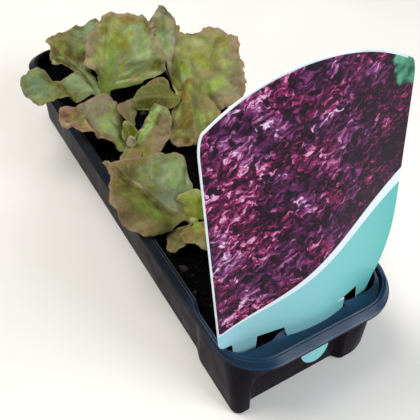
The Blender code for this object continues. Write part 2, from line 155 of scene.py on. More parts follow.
# Each plant is its crown's place and its leaves. Each leaf: heading from +X in
# degrees, length and width, starting rise and total fall of the midrib in degrees,
# then what differs from the usual leaf. Edges give the blade's width left and right
# of the midrib at shares of its length. A patch is its radius, its colour and the
# points that it follows; a fold is its width, its height and its points. Points are
# millimetres to the right of the midrib and along it.
# The zone and patch colours are the leaves' colours as they are lit, so some hold painted light:
# dark patches along folds and on turned-down parts are painted shade, and thin pale patches on fold
# ridges are painted highlights.
PLANTS = {
    "lettuce_left_front": ((-18.5, -48), (
        dict(heading=133, length=64, width=60, rise=39, fall=44, sweep=-22, roll=4,
             edges=((0, 2, 2), (0.08, 4, 12), (0.15, 17, 21), (0.29, 28, 26.5), (0.48, 27.6, 32.2),
                 (0.66, 22, 24), (0.76, 15.5, 14), (0.84, 7, 8), (0.92, 3.5, 4), (1, 1.5, 1.5)),
             # The left half's darker colour is partly the leaf's own olive-brown and partly painted
             # shade, as that half tips away from the light.
             foot="#747244", left="#65592A", right="#717951", tip="#67542F", margin="#8F7961",
             margin_width=2.6, vivid="#7C8C3A",
             patches=((7.5, "#818F70", (12.4, 28.5), (10.7, 18)), (5.6, "#8FA07A", (15.7, 29.2)),
                 (5.9, "#8CA36B", (21.8, 25.5), (14.7, 19.5)),
                 (3.8, "#838A6D", (0.8, 22.5), (0, 14.2)), (3.8, "#8B976E", (9.3, 9), (20.6, 12.8)),
                 (4.7, "#726132", (5.2, 51.7), (13, 47.3)),
                 (6.2, "#685D2E", (-9.4, 37.5), (-8, 29.2)),
                 (7.2, "#6C7832", (-11.3, 29.2), (-11.1, 18.8)), (3.4, "#738A3D", (-11.3, 20.2)),
                 (3.8, "#7B6B46", (-20.4, 39), (-22.9, 27.8), (-23.9, 19.5)),
                 (3.4, "#726943", (-13.9, 11.2)),
                 # Painted shade along the midrib's valley.
                 (3.1, "#564922", (-2.8, 48.7), (-3.8, 36), (-4.2, 24.8), (-4, 12.8)),
                 (0.8, "#9B8C6A", (1.4, 47.3), (-0.6, 36)), (1, "#4F3D21", (-7.3, 43.5)),
                 (3.1, "#795D42", (-0.1, 58.7)), (4.5, "#A2B688", (23, 16.5)),
                 (4.5, "#5C552B", (3, 46.5)), (4.5, "#677045", (12.5, 35.5))),
             folds=((5, -3.2, (-1.5, 45.7), (-4.2, 24.8), (-3, 8.2)),
                 (9, 3, (-16, 29.2), (-14.5, 18)), (7, 1.8, (18.7, 42), (14.9, 23.2)),
                 (4, 1.8, (-1.7, 54.7), (-10.7, 45)))),
        dict(heading=262, length=29, width=26, rise=45, fall=85, ruffle=1.6, waves=4,
             foot="#707A31", left="#725925", right="#76693A", tip="#878966", margin="#89754A",
             patches=((4, "#7E963E", (2, 8)), (3.5, "#967E56", (-3, 17)))),
        dict(heading=213, length=28, width=15, rise=15, fall=20, ruffle=0.8, waves=3,
             foot="#5D562A", left="#695F38", right="#504A25", tip="#756C44", margin="#7D6C49"),
        dict(heading=50, length=18, width=24, rise=58, fall=20, ruffle=1.4, waves=4, stalk=0.45,
             foot="#848F30", left="#8F9845", right="#7A8424", tip="#8F9A4F", margin="#9E9A67",
             margin_width=2.4,
             patches=((4, "#78801A", (2.5, 10)), (2.5, "#A5A06E", (-9, 8)))),
    )),
    "lettuce_left_middle": ((-22.5, 26), (
        dict(heading=142, length=51, width=38, rise=45, fall=48, roll=8, ruffle=1.6,
             edges=((0, 2, 2), (0.08, 5, 3), (0.15, 7.5, 12), (0.22, 8, 16.5), (0.3, 7.5, 20.5),
                 (0.5, 7.5, 28), (0.6, 6.5, 28), (0.7, 5, 22.5), (0.8, 4, 17.5), (0.88, 6.5, 10.5),
                 (0.95, 5, 9), (1, 2, 6)),
             foot="#696D38", left="#715D42", right="#6F6950", tip="#634630", margin="#8E7060",
             margin_width=3,
             patches=((6.9, "#7C735D", (18.5, 33.1), (18.6, 27.4)), (5.6, "#767154", (10, 28.7)),
                 (3.8, "#808250", (19.8, 21.7), (16.2, 18.5)),
                 (5.9, "#829263", (5.7, 21), (2.6, 15.3)),
                 (3.8, "#7E8B4D", (4.6, 8.3), (-4.2, 8.3)),
                 (3.1, "#746A34", (0, 38.3), (-7.5, 26.1)),
                 (3.8, "#7A5142", (2, 49.3), (4.9, 43.4)), (2.5, "#724529", (1.1, 42.7)),
                 (1.9, "#A29C6F", (-3.8, 47.4), (-4.2, 43.2)),
                 # Painted shade in the fold's valley and a painted highlight on its ridge beside
                 # it.
                 (1.4, "#604522", (3.2, 33.1), (-2, 26.1)),
                 (0.7, "#A8946C", (2.3, 35.1), (-7.2, 28.1), (-5.2, 24.2)),
                 (1.2, "#88734E", (-5.5, 21.7), (-7, 13.4)), (1.4, "#7A4B37", (-5.2, 12.1)),
                 (4, "#A4A470", (15, 17)), (3, "#5E3E32", (0, 46)), (2.5, "#8A7450", (-2, 32))),
             folds=((2.6, 2.4, (2.3, 35.1), (-6.9, 26.1), (-7, 13.4)),
                 (2.6, -2.4, (3.8, 33.1), (-1.3, 25.5), (-4.8, 17.9)),
                 (6, 2, (5.4, 19.8), (1.5, 14)), (5, -2, (12.1, 36.4), (11.4, 26.8), (12.3, 11.5)),
                 (3.5, 2.5, (3.6, 49.3), (7.1, 44)))),
        dict(heading=0, length=47, width=36, rise=48, fall=25, sweep=50, fold=8, roll=-14, bend=2.5,
             ruffle=0.8, waves=3, scallop=0.6, end=0.7,
             edges=((0, 4, 16), (0.08, 4.2, 19), (0.22, 4.2, 18), (0.4, 4, 16), (0.5, 4, 14.5),
                 (0.62, 3.6, 11), (0.7, 2, 6)),
             foot="#726C31", left="#819A59", right="#7D6951", tip="#768347", margin="#877259",
             margin_width=1.6,
             patches=((4.6, "#93AF64", (-1.5, 9), (-1.2, 34)), (3.5, "#7E7836", (6, 5)),
                 (1.6, "#736437", (4, 12), (4.2, 28)))),
        dict(heading=66, length=32, width=14, rise=55, fall=30, ruffle=0.8, waves=4,
             edges=((0, 1.5, 1.5), (0.4, 2, 2), (0.6, 4, 2.5), (0.8, 8.5, 4.5), (0.92, 6, 5.5),
                 (1, 2, 4)),
             foot="#565824", left="#695E3B", right="#605232", tip="#665642", margin="#776A4A"),
        dict(heading=85, length=18, width=12, rise=66, fall=10, fold=22, ruffle=0.5, waves=3,
             foot="#767F38", left="#696A16", right="#62640E", tip="#676A19", margin="#909660",
             margin_width=2.2),
        dict(heading=70, length=10, width=7, rise=68, fall=8, fold=16, ruffle=0.4, waves=3,
             start=(-23.7, 23.9, 43.8), vivid="#96925E",
             foot="#7D8044", left="#9A9270", right="#8E8562", tip="#A2997A", margin="#AAA288",
             margin_width=1.4),
        dict(heading=157, length=31, width=22, rise=16, fall=34, roll=32, fold=-16, ruffle=0.6,
             waves=3, scallop=0.5, start=(15.8, 30.8, 66.7), vivid="#667020",
             edges=((0, 2, 1.5), (0.06, 5, 4), (0.15, 6.9, 6.4), (0.35, 9, 10), (0.5, 9.8, 9.8),
                 (0.7, 8.4, 9), (0.85, 7.6, 6.6), (1, 6.8, 1)),
             foot="#616226", left="#47490C", right="#555923", tip="#4D5215", margin="#727436",
             margin_width=1.2,
             # The dark patch on the left half is painted shade under the hood's curl.
             patches=((4.5, "#424407", (-6.5, 20), (-7, 12)), (4, "#5F5E26", (2, 5)))),
        dict(heading=80, length=13, width=24, rise=30, fall=5, ruffle=0.6, waves=3, scallop=0.6,
             start=(6.4, 38.6, 67), vivid="#6A6030",
             edges=((0, 5, 4), (0.35, 9.5, 6.5), (0.7, 9, 6.5), (0.9, 5.5, 4.5), (1, 2, 2)),
             foot="#544A26", left="#64552F", right="#5C522C", tip="#6C5C38", margin="#7A6C46",
             margin_width=1.4),
        dict(heading=216, length=19, width=14, rise=0, fall=12, ruffle=0.4, waves=3, scallop=0.5,
             start=(-20.6, 26.4, 45.4), vivid="#75763A",
             edges=((0, 4.5, 3.5), (0.3, 8.5, 4), (0.7, 9.5, 3.2), (1, 5, 2)),
             foot="#6F7036", left="#7A6048", right="#6B6A38", tip="#77603F", margin="#8F7C60",
             margin_width=1.4),
    )),
    "lettuce_left_back": ((-16.5, 86), (
        dict(heading=170, length=57, width=40, rise=40, fall=50, roll=12, ruffle=1.6, waves=4,
             edges=((0, 2, 2), (0.08, 2.5, 17), (0.15, 3, 18.5), (0.3, 8, 15.5), (0.4, 8.5, 11.5),
                 (0.5, 9.5, 9), (0.6, 10.5, 9.5), (0.7, 14, 16.5), (0.8, 15, 19.5),
                 (0.88, 13.5, 16.5), (0.95, 7, 10), (1, 2, 3)),
             foot="#768056", left="#606643", right="#596544", tip="#5E6746", margin="#7C7850",
             margin_width=2,
             patches=((6.9, "#637A59", (-2.6, 45.6), (1.5, 45.6)), (5, "#718058", (13.6, 46.3)),
                 (2.8, "#707A45", (-12.4, 47.2), (-11.6, 39.2)), (3.8, "#6D7A4C", (-2.1, 39.9)),
                 (5.3, "#86966A", (5.5, 22.8), (6.2, 11.4)), (3.1, "#96A97E", (3.7, 10)),
                 (2.2, "#6F613F", (18.5, 42.7), (9.7, 37.8)),
                 # The dark patches that follow the fold's valley are painted shade.
                 (2.8, "#635721", (7.6, 37.8), (0.9, 29.2), (-4.6, 20.7)),
                 (1.9, "#636127", (-8, 37), (-7.7, 26.4)), (3.5, "#57461A", (2.5, 31.5))),
             folds=((5, -3.5, (9.3, 38.5), (0.9, 29.2), (-4.8, 20)),
                 (6, 3, (8.7, 23.5), (8.9, 7.1)), (9, 3, (7.7, 47), (-5.2, 47.8)))),
        dict(heading=60, length=58, width=62, rise=60, fall=38, fold=6, ruffle=2.2, scallop=1.8,
             edges=((0, 2.5, 4.5), (0.08, 3, 6), (0.12, 3.5, 18), (0.16, 4, 26), (0.21, 4.2, 30),
                 (0.25, 4.6, 38), (0.3, 6, 42), (0.34, 11, 44), (0.45, 12.5, 44.5),
                 (0.55, 13.8, 43), (0.62, 13, 40), (0.75, 9.5, 36), (0.9, 5.5, 33), (1, 1, 26)),
             foot="#677734", left="#7C744C", right="#7E8456", tip="#74743C", margin="#948468",
             margin_width=3,
             patches=((6.9, "#7F8E62", (22.9, 47.2), (28.7, 30.4)),
                 (3.8, "#8B9D6A", (22.8, 25.4), (31.2, 29)),
                 (5.6, "#7E8433", (8.1, 40.6), (13.8, 35.5)),
                 (3.8, "#8D8E51", (-2.1, 49.2), (7.5, 50)),
                 (4.4, "#7A692C", (15.6, 54.4), (25.1, 56.7)),
                 (2.8, "#746831", (28.8, 55.1), (32, 45)),
                 (2.8, "#665E26", (35.4, 18.9), (38.9, 23.2)),
                 (3.4, "#918461", (-10, 35.5), (-8.8, 22.5)), (2.5, "#95886D", (-7.6, 19.6)),
                 (3.8, "#808846", (-1.6, 31.2), (-2.8, 24.6)),
                 (3, "#7C923F", (3, 35.5), (6.5, 26.1), (2.8, 12.3), (3.7, 5.8)),
                 (1.9, "#6A8430", (5.4, 29)), (1.8, "#728C36", (-0.2, 10.9)),
                 (3.4, "#646014", (-0.4, 47.1)), (2.5, "#807A2A", (18.4, 42.8)),
                 (0.8, "#9CA974", (10.5, 13.8), (25.1, 21)),
                 (0.8, "#9BA670", (9.1, 9.4), (26.2, 13.8)),
                 (0.8, "#97A574", (16.1, 23.2), (33.7, 31.2)),
                 (0.8, "#99A475", (15.6, 15.2), (30.1, 23.2)), (2.8, "#9C9369", (22.2, 12.3)),
                 (2.5, "#8F825D", (41.1, 31.9), (43.5, 28.3)),
                 (1.6, "#959B65", (26.9, 15.2), (36.3, 16.7)), (4, "#6A7A2C", (3, 36))),
             folds=((5, -3, (10.5, 31.2), (9, 11.6)), (3.5, 2, (3, 35.5), (3.7, 5.8)),
                 (7, 2.5, (-10.1, 39.1), (-8.2, 22.5)), (6, 2.5, (18.2, 50), (23.9, 26.1)),
                 (5, -2.5, (29, 50), (33.5, 21)), (6, -2.5, (-0.5, 49.2), (-2.9, 35.5)),
                 (4, -2, (16.8, 48.6), (21.3, 53.6)))),
        dict(heading=114, length=60, width=46, rise=40, fall=36, ruffle=1.8, waves=4, end=0.94,
             edges=((0, 2, 2), (0.3, 5, 6), (0.45, 4, 13), (0.55, 9, 24), (0.63, 13, 34),
                 (0.7, 10.5, 41), (0.8, 5, 46), (0.87, 2, 46), (0.92, 1, 38), (1, 0.5, 24)),
             # The dark left half and the dark patches below the fold are painted shade on the
             # turned-down part; the thin light patch on the fold's ridge is a painted highlight.
             foot="#7C8D59", left="#45411E", right="#7B8054", tip="#65612E", margin="#7A6E46",
             margin_width=2.4,
             patches=((6.2, "#7D8E69", (38.2, 49.5), (27.6, 48.6)), (3.8, "#7C884C", (17.8, 41.8)),
                 (5.6, "#514719", (-0.3, 43.2), (8.8, 29.7)),
                 (3.1, "#615625", (-0.4, 46.6), (5.2, 42.5)),
                 (1.2, "#7A6D40", (1.8, 51.9), (8.4, 45.9)),
                 (2.1, "#969668", (-10.6, 40.4), (-12.8, 36.4)), (1.9, "#6D5D2B", (19.4, 38.5))),
             folds=((5, 4, (0, 50.6), (11.6, 43.9), (15.1, 35.1)),
                 (7, -2, (33.2, 52.5), (25, 42.5)))),
    )),
    "lettuce_right_middle": ((28.5, 52), (
        dict(heading=8, length=64, width=76, rise=58, fall=45, waves=7, scallop=2, end=0.94,
             edges=((0, 2, 2), (0.06, 5, 5), (0.12, 22, 14), (0.15, 30, 26), (0.26, 32, 35),
                 (0.35, 35, 39), (0.43, 36, 37.5), (0.51, 39, 39.5), (0.58, 42, 36), (0.64, 37, 33),
                 (0.68, 28, 29), (0.74, 22, 24), (0.8, 23.5, 15), (0.9, 15, 7), (0.94, 5, 3)),
             foot="#6B622E", left="#878B4F", right="#7D7A57", tip="#837653", margin="#957D62",
             margin_width=5,
             patches=((4.4, "#827C3A", (-11, 53.4), (0, 49.6)),
                 (3.8, "#989965", (-28.1, 36.8), (-17.5, 40.6)),
                 (4.1, "#7A8022", (-11.4, 32.3), (-1.9, 33.1)),
                 (3.8, "#859641", (-9.9, 19.6), (-18.6, 21.1)), (3.8, "#96A96C", (-9.5, 15)),
                 (3.8, "#897E4A", (2.9, 25.6), (4.8, 33.1)),
                 (4.7, "#87994A", (12.2, 21.1), (17.5, 27.8), (18, 17.3)),
                 (2.8, "#8D785F", (4, 55.7), (11.4, 50.2)),
                 (5.3, "#89785F", (27.2, 36.8), (33.7, 35.3)),
                 (3.8, "#8D7C5B", (32.9, 21.1), (23, 16.5)), (2.8, "#9E9572", (-29.4, 25.6)),
                 (2.5, "#A9A584", (-28, 12)), (3.1, "#969A48", (-18.6, 9), (-11.3, 8.3)),
                 (1.1, "#647526", (-18, 22.6)), (1.9, "#678432", (13.3, 21.8)),
                 (3.8, "#959354", (1.7, 39.9), (10.8, 39.8)), (4, "#ABAC6C", (-28, 16)),
                 (4.5, "#A2AB6A", (11, 16.5), (16, 12)), (5, "#6E6832", (-6.5, 49.5))),
             folds=((6, 2.4, (-21.4, 36.1), (-4.6, 27.8)), (6, -2.4, (-11, 41.4), (3.9, 29.3)),
                 (6, 2.4, (-5, 49.6), (11.6, 37.6)), (5, -2.4, (8.4, 48.9), (23.4, 31.6)),
                 (6, 2.2, (-18.2, 23.3), (-6.3, 15)), (6, 2.2, (9.5, 22.6), (24.7, 22.6)))),
        dict(heading=252, length=66, width=40, rise=85, fall=150, bend=0.9, fold=-8, ruffle=1.4,
             waves=4,
             edges=((0, 3, 3), (0.1, 8, 2.5), (0.3, 14, 3), (0.4, 14.5, 5), (0.5, 14, 9),
                 (0.6, 16.5, 12.5), (0.7, 19, 15), (0.8, 17.5, 17), (0.9, 15, 17), (1, 11, 13)),
             foot="#6C7033", left="#797445", right="#615A2D", tip="#6B5D2F", margin="#887853",
             margin_width=2.6,
             patches=((3.8, "#78823D", (-5, 43.7), (-5.7, 52.8)),
                 (3.8, "#716221", (-4, 3.3), (5, 51.2)), (2.8, "#71642D", (-5.4, 16.5)),
                 (3.1, "#7D7142", (-11.5, 39.6), (-17.9, 43.7)),
                 (2.5, "#828A49", (7.6, 35.5), (9.5, 45.4)), (1, "#4E4315", (5.2, 38.8)),
                 (0.9, "#89924E", (-4.9, 39.6), (-5.3, 52)), (2.5, "#674D24", (6, 63.7)),
                 (2.5, "#897B4D", (10.9, 62.8)), (3.5, "#5C5518", (3.7, 42)),
                 (2.5, "#A88A60", (2.5, 64))),
             folds=((6.5, 8.5, (-3.5, 21), (-3.5, 27)), (5, 3, (-3.3, 22.3), (3, 46.2)),
                 (4, -2.2, (-6.5, 37.1), (-6.6, 52.8)))),
        dict(heading=80, length=75, width=26, rise=5, fall=-80, bend=0.8, ruffle=0.8, waves=3,
             scallop=0.5, end=0.97,
             edges=((0, 1.5, 1.5), (0.35, 2, 2), (0.5, 4, 5), (0.6, 7.5, 8), (0.73, 10, 9.5),
                 (0.82, 9.2, 9.4), (0.89, 6.3, 6.5), (0.97, 0.3, 1.6)),
             foot="#A6A760", left="#999B6E", right="#A19B75", tip="#A59C83", margin="#8C7659",
             margin_width=1.8,
             patches=((3.8, "#9DB17F", (0.2, 52.8), (-0.5, 42.9)), (3.1, "#94B166", (-4.9, 51.1)),
                 (2.8, "#8C8B61", (1.6, 63.5), (-0.6, 58.5)),
                 (1.5, "#8C7646", (-4.2, 61), (-7.5, 56.9), (-6.5, 47.9)),
                 (2.5, "#A3A587", (6.3, 55.2), (5.4, 47))),
             folds=((3, -1.8, (1.2, 65), (-2.3, 43.7)),)),
    )),
    "lettuce_right_back": ((27, 112), (
        dict(heading=20, length=40, width=34, rise=40, fall=45, ruffle=1.5),
        dict(heading=95, length=38, width=30, rise=38, fall=40, ruffle=1.5),
        dict(heading=300, length=26, width=20, rise=35, fall=40, ruffle=1),
    )),
    "lettuce_right_front": ((32, -28), (
        dict(heading=5, length=48, width=44, rise=42, fall=50,
             patches=((7, "#8A985D", (4.4, 24)),)),
        dict(heading=60, length=32, width=26, rise=50, fall=35, ruffle=1.2),
        dict(heading=255, length=40, width=34, rise=45, fall=60, ruffle=1.6, left="#786944",
             tip="#76553E"),
        dict(heading=310, length=46, width=40, rise=42, fall=50, right="#757547",
             patches=((6, "#767C35", (-6, 27)),)),
        dict(heading=165, length=24, width=16, rise=55, fall=40, ruffle=0.8, waves=3),
    )),
    "lettuce_near_label": ((12, -96), (
        dict(heading=20, length=44, width=38, rise=45, fall=50, ruffle=1.6,
             patches=((6.5, "#7E8D43", (-4, 22)),)),
        dict(heading=95, length=34, width=28, rise=50, fall=40, ruffle=1.2),
        dict(heading=160, length=38, width=32, rise=45, fall=55, ruffle=1.4, left="#766746",
             tip="#755640"),
        dict(heading=235, length=26, width=20, rise=50, fall=60, ruffle=0.8),
        dict(heading=300, length=28, width=22, rise=50, fall=60, ruffle=0.8),
    )),
}

# Camera, in degrees and millimetres
CAMERA_PLACE = (-140.4, -265.2, 322.5)
CAMERA_AZIMUTH = -31.44
CAMERA_ELEVATION = 47.30
CAMERA_ROLL = 1.63
CAMERA_LENS = 54.67


def linear(hex_colour):
    """An sRGB hex colour as the linear colour that Blender's sockets take."""
    channels = [int(hex_colour[start:start + 2], 16) / 255 for start in (1, 3, 5)]
    return tuple(c / 12.92 if c <= 0.04045 else ((c + 0.055) / 1.055) ** 2.4
                 for c in channels) + (1.0,)


def clamped(value):
    return min(max(value, 0.0), 1.0)


def ease(value):
    value = clamped(value)
    return value * value * (3.0 - 2.0 * value)


def mixed(first, second, share):
    return tuple(a + (b - a) * share for a, b in zip(first, second))


def uneven(x, y, size, seed):
    """Smooth noise at a place on a flat surface, with lumps of about this size."""
    return noise.noise(Vector((x / size, y / size, seed)))


def direction(heading, rise):
    """The unit vector at a heading from +X that rises from level, both in degrees."""
    heading, rise = math.radians(heading), math.radians(rise)
    return Vector((math.cos(rise) * math.cos(heading), math.cos(rise) * math.sin(heading),
                   math.sin(rise)))


def right_and_up(forward, roll):
    """What lies to the right of a direction and over it, rolled about it by degrees."""
    roll = math.radians(roll)
    right = forward.cross(Vector((0, 0, 1))).normalized()
    up = right.cross(forward)
    return (math.cos(roll) * right + math.sin(roll) * up,
            math.cos(roll) * up - math.sin(roll) * right)


def repeats(size_mm):
    """The texture scale that gives a pattern of this size on Object coordinates."""
    return 1.0 / (size_mm * MM)


def feed(node, inputs):
    """Set a node's inputs, each to a value, a hex colour or what another node gives.

    A node in place of a value stands for the first of its outputs that is in use.
    """
    for socket, value in inputs.items():
        if isinstance(value, bpy.types.Node):
            value = next(output for output in value.outputs if output.enabled)
        if isinstance(value, bpy.types.NodeSocket):
            node.id_data.links.new(value, node.inputs[socket])
        else:
            node.inputs[socket].default_value = linear(value) if isinstance(value, str) else value


def add_node(tree, kind, inputs=None, stops=(), **settings):
    """Add a shader node with its settings, its inputs and a colour ramp's stops."""
    node = tree.nodes.new("ShaderNode" + kind)
    for name, value in settings.items():
        setattr(node, name, value)
    feed(node, inputs or {})
    for number, (position, colour) in enumerate(stops):
        elements = node.color_ramp.elements
        element = elements[number] if number < len(elements) else elements.new(position)
        element.position = position
        element.color = linear(colour) if isinstance(colour, str) else colour
    return node


def start_material(name, constants):
    """A named material, its shader with these constants, and what adds its nodes."""
    material = bpy.data.materials.new(name)
    material.use_nodes = True
    shader = material.node_tree.nodes["Principled BSDF"]
    feed(shader, {"IOR": 1.5, **constants})
    return material, shader, partial(add_node, material.node_tree)


def speckled(add, under, place, scale, reach, strength, colour):
    """Lay one small speck of a colour in each cell of a pattern over another colour."""
    cells = add("TexVoronoi", {"Vector": place, "Scale": scale})
    share = add("MapRange", {"Value": cells, "From Min": reach[0], "From Max": reach[1],
                             "To Max": strength})
    return add("Mix", {0: share, 6: under, 7: colour}, data_type="RGBA")


def clouded(name, constants, size_mm, detail, stops):
    """A material whose colour drifts through a ramp in clouds of a real size."""
    material, shader, add = start_material(name, constants)
    place = add("TexCoord").outputs["Object"]
    cloud = add("TexNoise", {"Vector": place, "Scale": repeats(size_mm), "Detail": detail})
    feed(shader, {"Base Color": add("ValToRGB", {"Fac": cloud}, stops=stops)})
    return material


def add_object(name, data):
    added = bpy.data.objects.new(name, data)
    bpy.context.scene.collection.objects.link(added)
    return added


def add_mesh(bm, name):
    """Make a bmesh in millimetres an object in metres."""
    bmesh.ops.scale(bm, vec=(MM, MM, MM), verts=bm.verts)
    mesh = bpy.data.meshes.new(name)
    bm.to_mesh(mesh)
    bm.free()
    return add_object(name, mesh)


def finish_piece(bm, name, materials, node):
    """Make a bmesh in millimetres a piece that rides on the pack and stands for a node."""
    piece = add_mesh(bm, name)
    piece.data.shade_smooth()
    for material in materials:
        piece.data.materials.append(material)
    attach(piece, "root")
    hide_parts(node)
    return piece


def arc_points(middle_x, middle_y, radius_x, radius_y, start, end, steps):
    points = []
    for step in range(steps + 1):
        angle = math.radians(start + (end - start) * step / steps)
        points.append((middle_x + radius_x * math.cos(angle),
                       middle_y + radius_y * math.sin(angle)))
    return points


# Tray


def vacuum_formed_polystyrene(looks):
    """Black high-impact polystyrene, vacuum formed.

    The forming leaves an even gloss with a faint orange peel. What looks up is
    painted navy, a painted reflection that is brighter and glossier at the near
    end than along the sides; the steep walls carry a brown film of peat dust with
    a few lighter specks.
    """
    material, shader, add = start_material("vacuum_formed_polystyrene", {"IOR": 1.55})
    here = add("TexCoord")
    place = here.outputs["Object"]
    facing = add("SeparateXYZ", {0: here.outputs["Normal"]})
    upward = add("MapRange", {"Value": facing.outputs[2], "From Min": 0.15, "From Max": 0.9})
    along = add("SeparateXYZ", {0: place})
    # Painted reflection: upward faces at the near end get a brighter navy and more gloss than the
    # rim along the sides.
    near = add("MapRange", {"Value": along.outputs[1], "From Min": -0.09, "From Max": -0.135})
    near_gloss = add("MapRange", {"Value": near, "To Min": 0.2, "To Max": 0.4})
    sheen = add("MapRange", {"Value": upward, "To Min": 0.03, "To Max": near_gloss})
    navy = add("Mix", {0: near, 6: looks.side_reflection_colour, 7: looks.near_reflection_colour}, data_type="RGBA")
    film = add("TexNoise", {"Vector": place, "Scale": repeats(13), "Detail": 5.0})
    dusty = add("MapRange", {"Value": film, "From Min": 0.35, "From Max": 0.72})
    wall = add("Mix", {0: dusty, 6: looks.wall_colour, 7: looks.dust_colour}, data_type="RGBA")
    # Upward faces are painted navy, a painted sheen; steep faces keep the dusty wall colour.
    dust_and_sheen = add("Mix", {0: upward, 6: wall, 7: navy}, data_type="RGBA")
    colour = speckled(add, dust_and_sheen, place, repeats(3.4), (0.13, 0.07), 0.5, "#4A403C")
    gloss = add("MapRange", {"Value": film, "From Min": 0.3, "From Max": 0.75,
                             "To Min": 0.28, "To Max": 0.5})
    peel = add("TexNoise", {"Vector": place, "Scale": repeats(2.2), "Detail": 2.0})
    bump = add("Bump", {"Height": peel, "Distance": 0.00008, "Strength": 0.35})
    feed(shader, {"Base Color": colour, "Roughness": gloss, "Specular IOR Level": sheen,
                  "Normal": bump})
    return material


def eased_line(line):
    """Fill the gaps of an end wall's line with points that ease from share to share."""
    points = []
    for (x, share), (next_x, next_share) in zip(line, line[1:]):
        for step in range(LINE_STEPS):
            part = step / LINE_STEPS
            points.append((x + (next_x - x) * part, share + (next_share - share) * ease(part)))
    return points + [line[-1]]


def evenly_between(start, end, count):
    return [mixed(start, end, step / (count + 1)) for step in range(1, count + 1)]


def widening(y):
    """The share of the near end's extra width at a place along the tray."""
    return ease((WIDENING_FROM_Y - y) / WIDENING_LENGTH)


def tray_ring(half_width, near, far, corners, height, set_back=0.0, line=None, widen=True):
    """One outline of the tray, anticlockwise from the far end of the right side.

    corners are the radii at the far end, the near left and the near right; line
    says where the near end wall is set back between its feet or for the label.
    """
    spread = END_WIDENING if widen else 0.0
    far_corner, left_corner, right_corner = corners
    places = (
        (half_width, far, far_corner, 0.0),
        (-half_width, far, far_corner, 90.0),
        (-half_width - spread, -near, left_corner, 180.0),
        (half_width + spread, -near, right_corner, 270.0),
    )
    arcs = [arc_points(x - math.copysign(radius, x), y - math.copysign(radius, y),
                       radius, radius, start, start + 90.0, CORNER_STEPS)
            for x, y, radius, start in places]
    left_side = [(-half_width - spread * widening(y), y) for y in SIDE_PLACES]
    right_side = [(half_width + spread * widening(y), y) for y in reversed(SIDE_PLACES)]
    across = len(eased_line(FEET_LINE))
    far_end = evenly_between(arcs[0][-1], arcs[1][0], across)
    near_end = evenly_between(arcs[2][-1], arcs[3][0], across)
    if line:
        near_end = [(x, -near + set_back * share) for x, share in eased_line(line)]
    outline = arcs[0] + far_end + arcs[1] + left_side + arcs[2] + near_end + arcs[3] + right_side
    return [Vector((x, y, height)) for x, y in outline]


def rounded_section(rings, radius, steps):
    """Sweep a small arc in place of each corner of the tray's section."""
    rounded = [rings[0]]
    for before, here, after in zip(rings, rings[1:], rings[2:]):
        arc = [[] for _ in range(steps + 1)]
        for lower, corner, upper in zip(before, here, after):
            start = corner + (lower - corner) * min(radius / (lower - corner).length, 0.45)
            end = corner + (upper - corner) * min(radius / (upper - corner).length, 0.45)
            for step in range(steps + 1):
                t = step / steps
                arc[step].append((1 - t) ** 2 * start + 2 * t * (1 - t) * corner + t * t * end)
        rounded += arc
    return rounded + [rings[-1]]


def sweep_rings(bm, rings):
    """Extrude one closed outline through the others and cap both ends."""
    ring = [bm.verts.new(point) for point in rings[0]]
    bm.faces.new(ring)
    edges = list(bm.edges)
    for points in rings[1:]:
        made = bmesh.ops.extrude_edge_only(bm, edges=edges)["geom"]
        new_verts = {item for item in made if isinstance(item, bmesh.types.BMVert)}
        following = []
        for vert, point in zip(ring, points):
            partner = next(edge.other_vert(vert) for edge in vert.link_edges
                           if edge.other_vert(vert) in new_verts)
            partner.co = point
            following.append(partner)
        edges = [item for item in made if isinstance(item, bmesh.types.BMEdge)
                 and item.verts[0] in new_verts and item.verts[1] in new_verts]
        ring = following
    bm.faces.new(ring)
    bmesh.ops.recalc_face_normals(bm, faces=bm.faces)


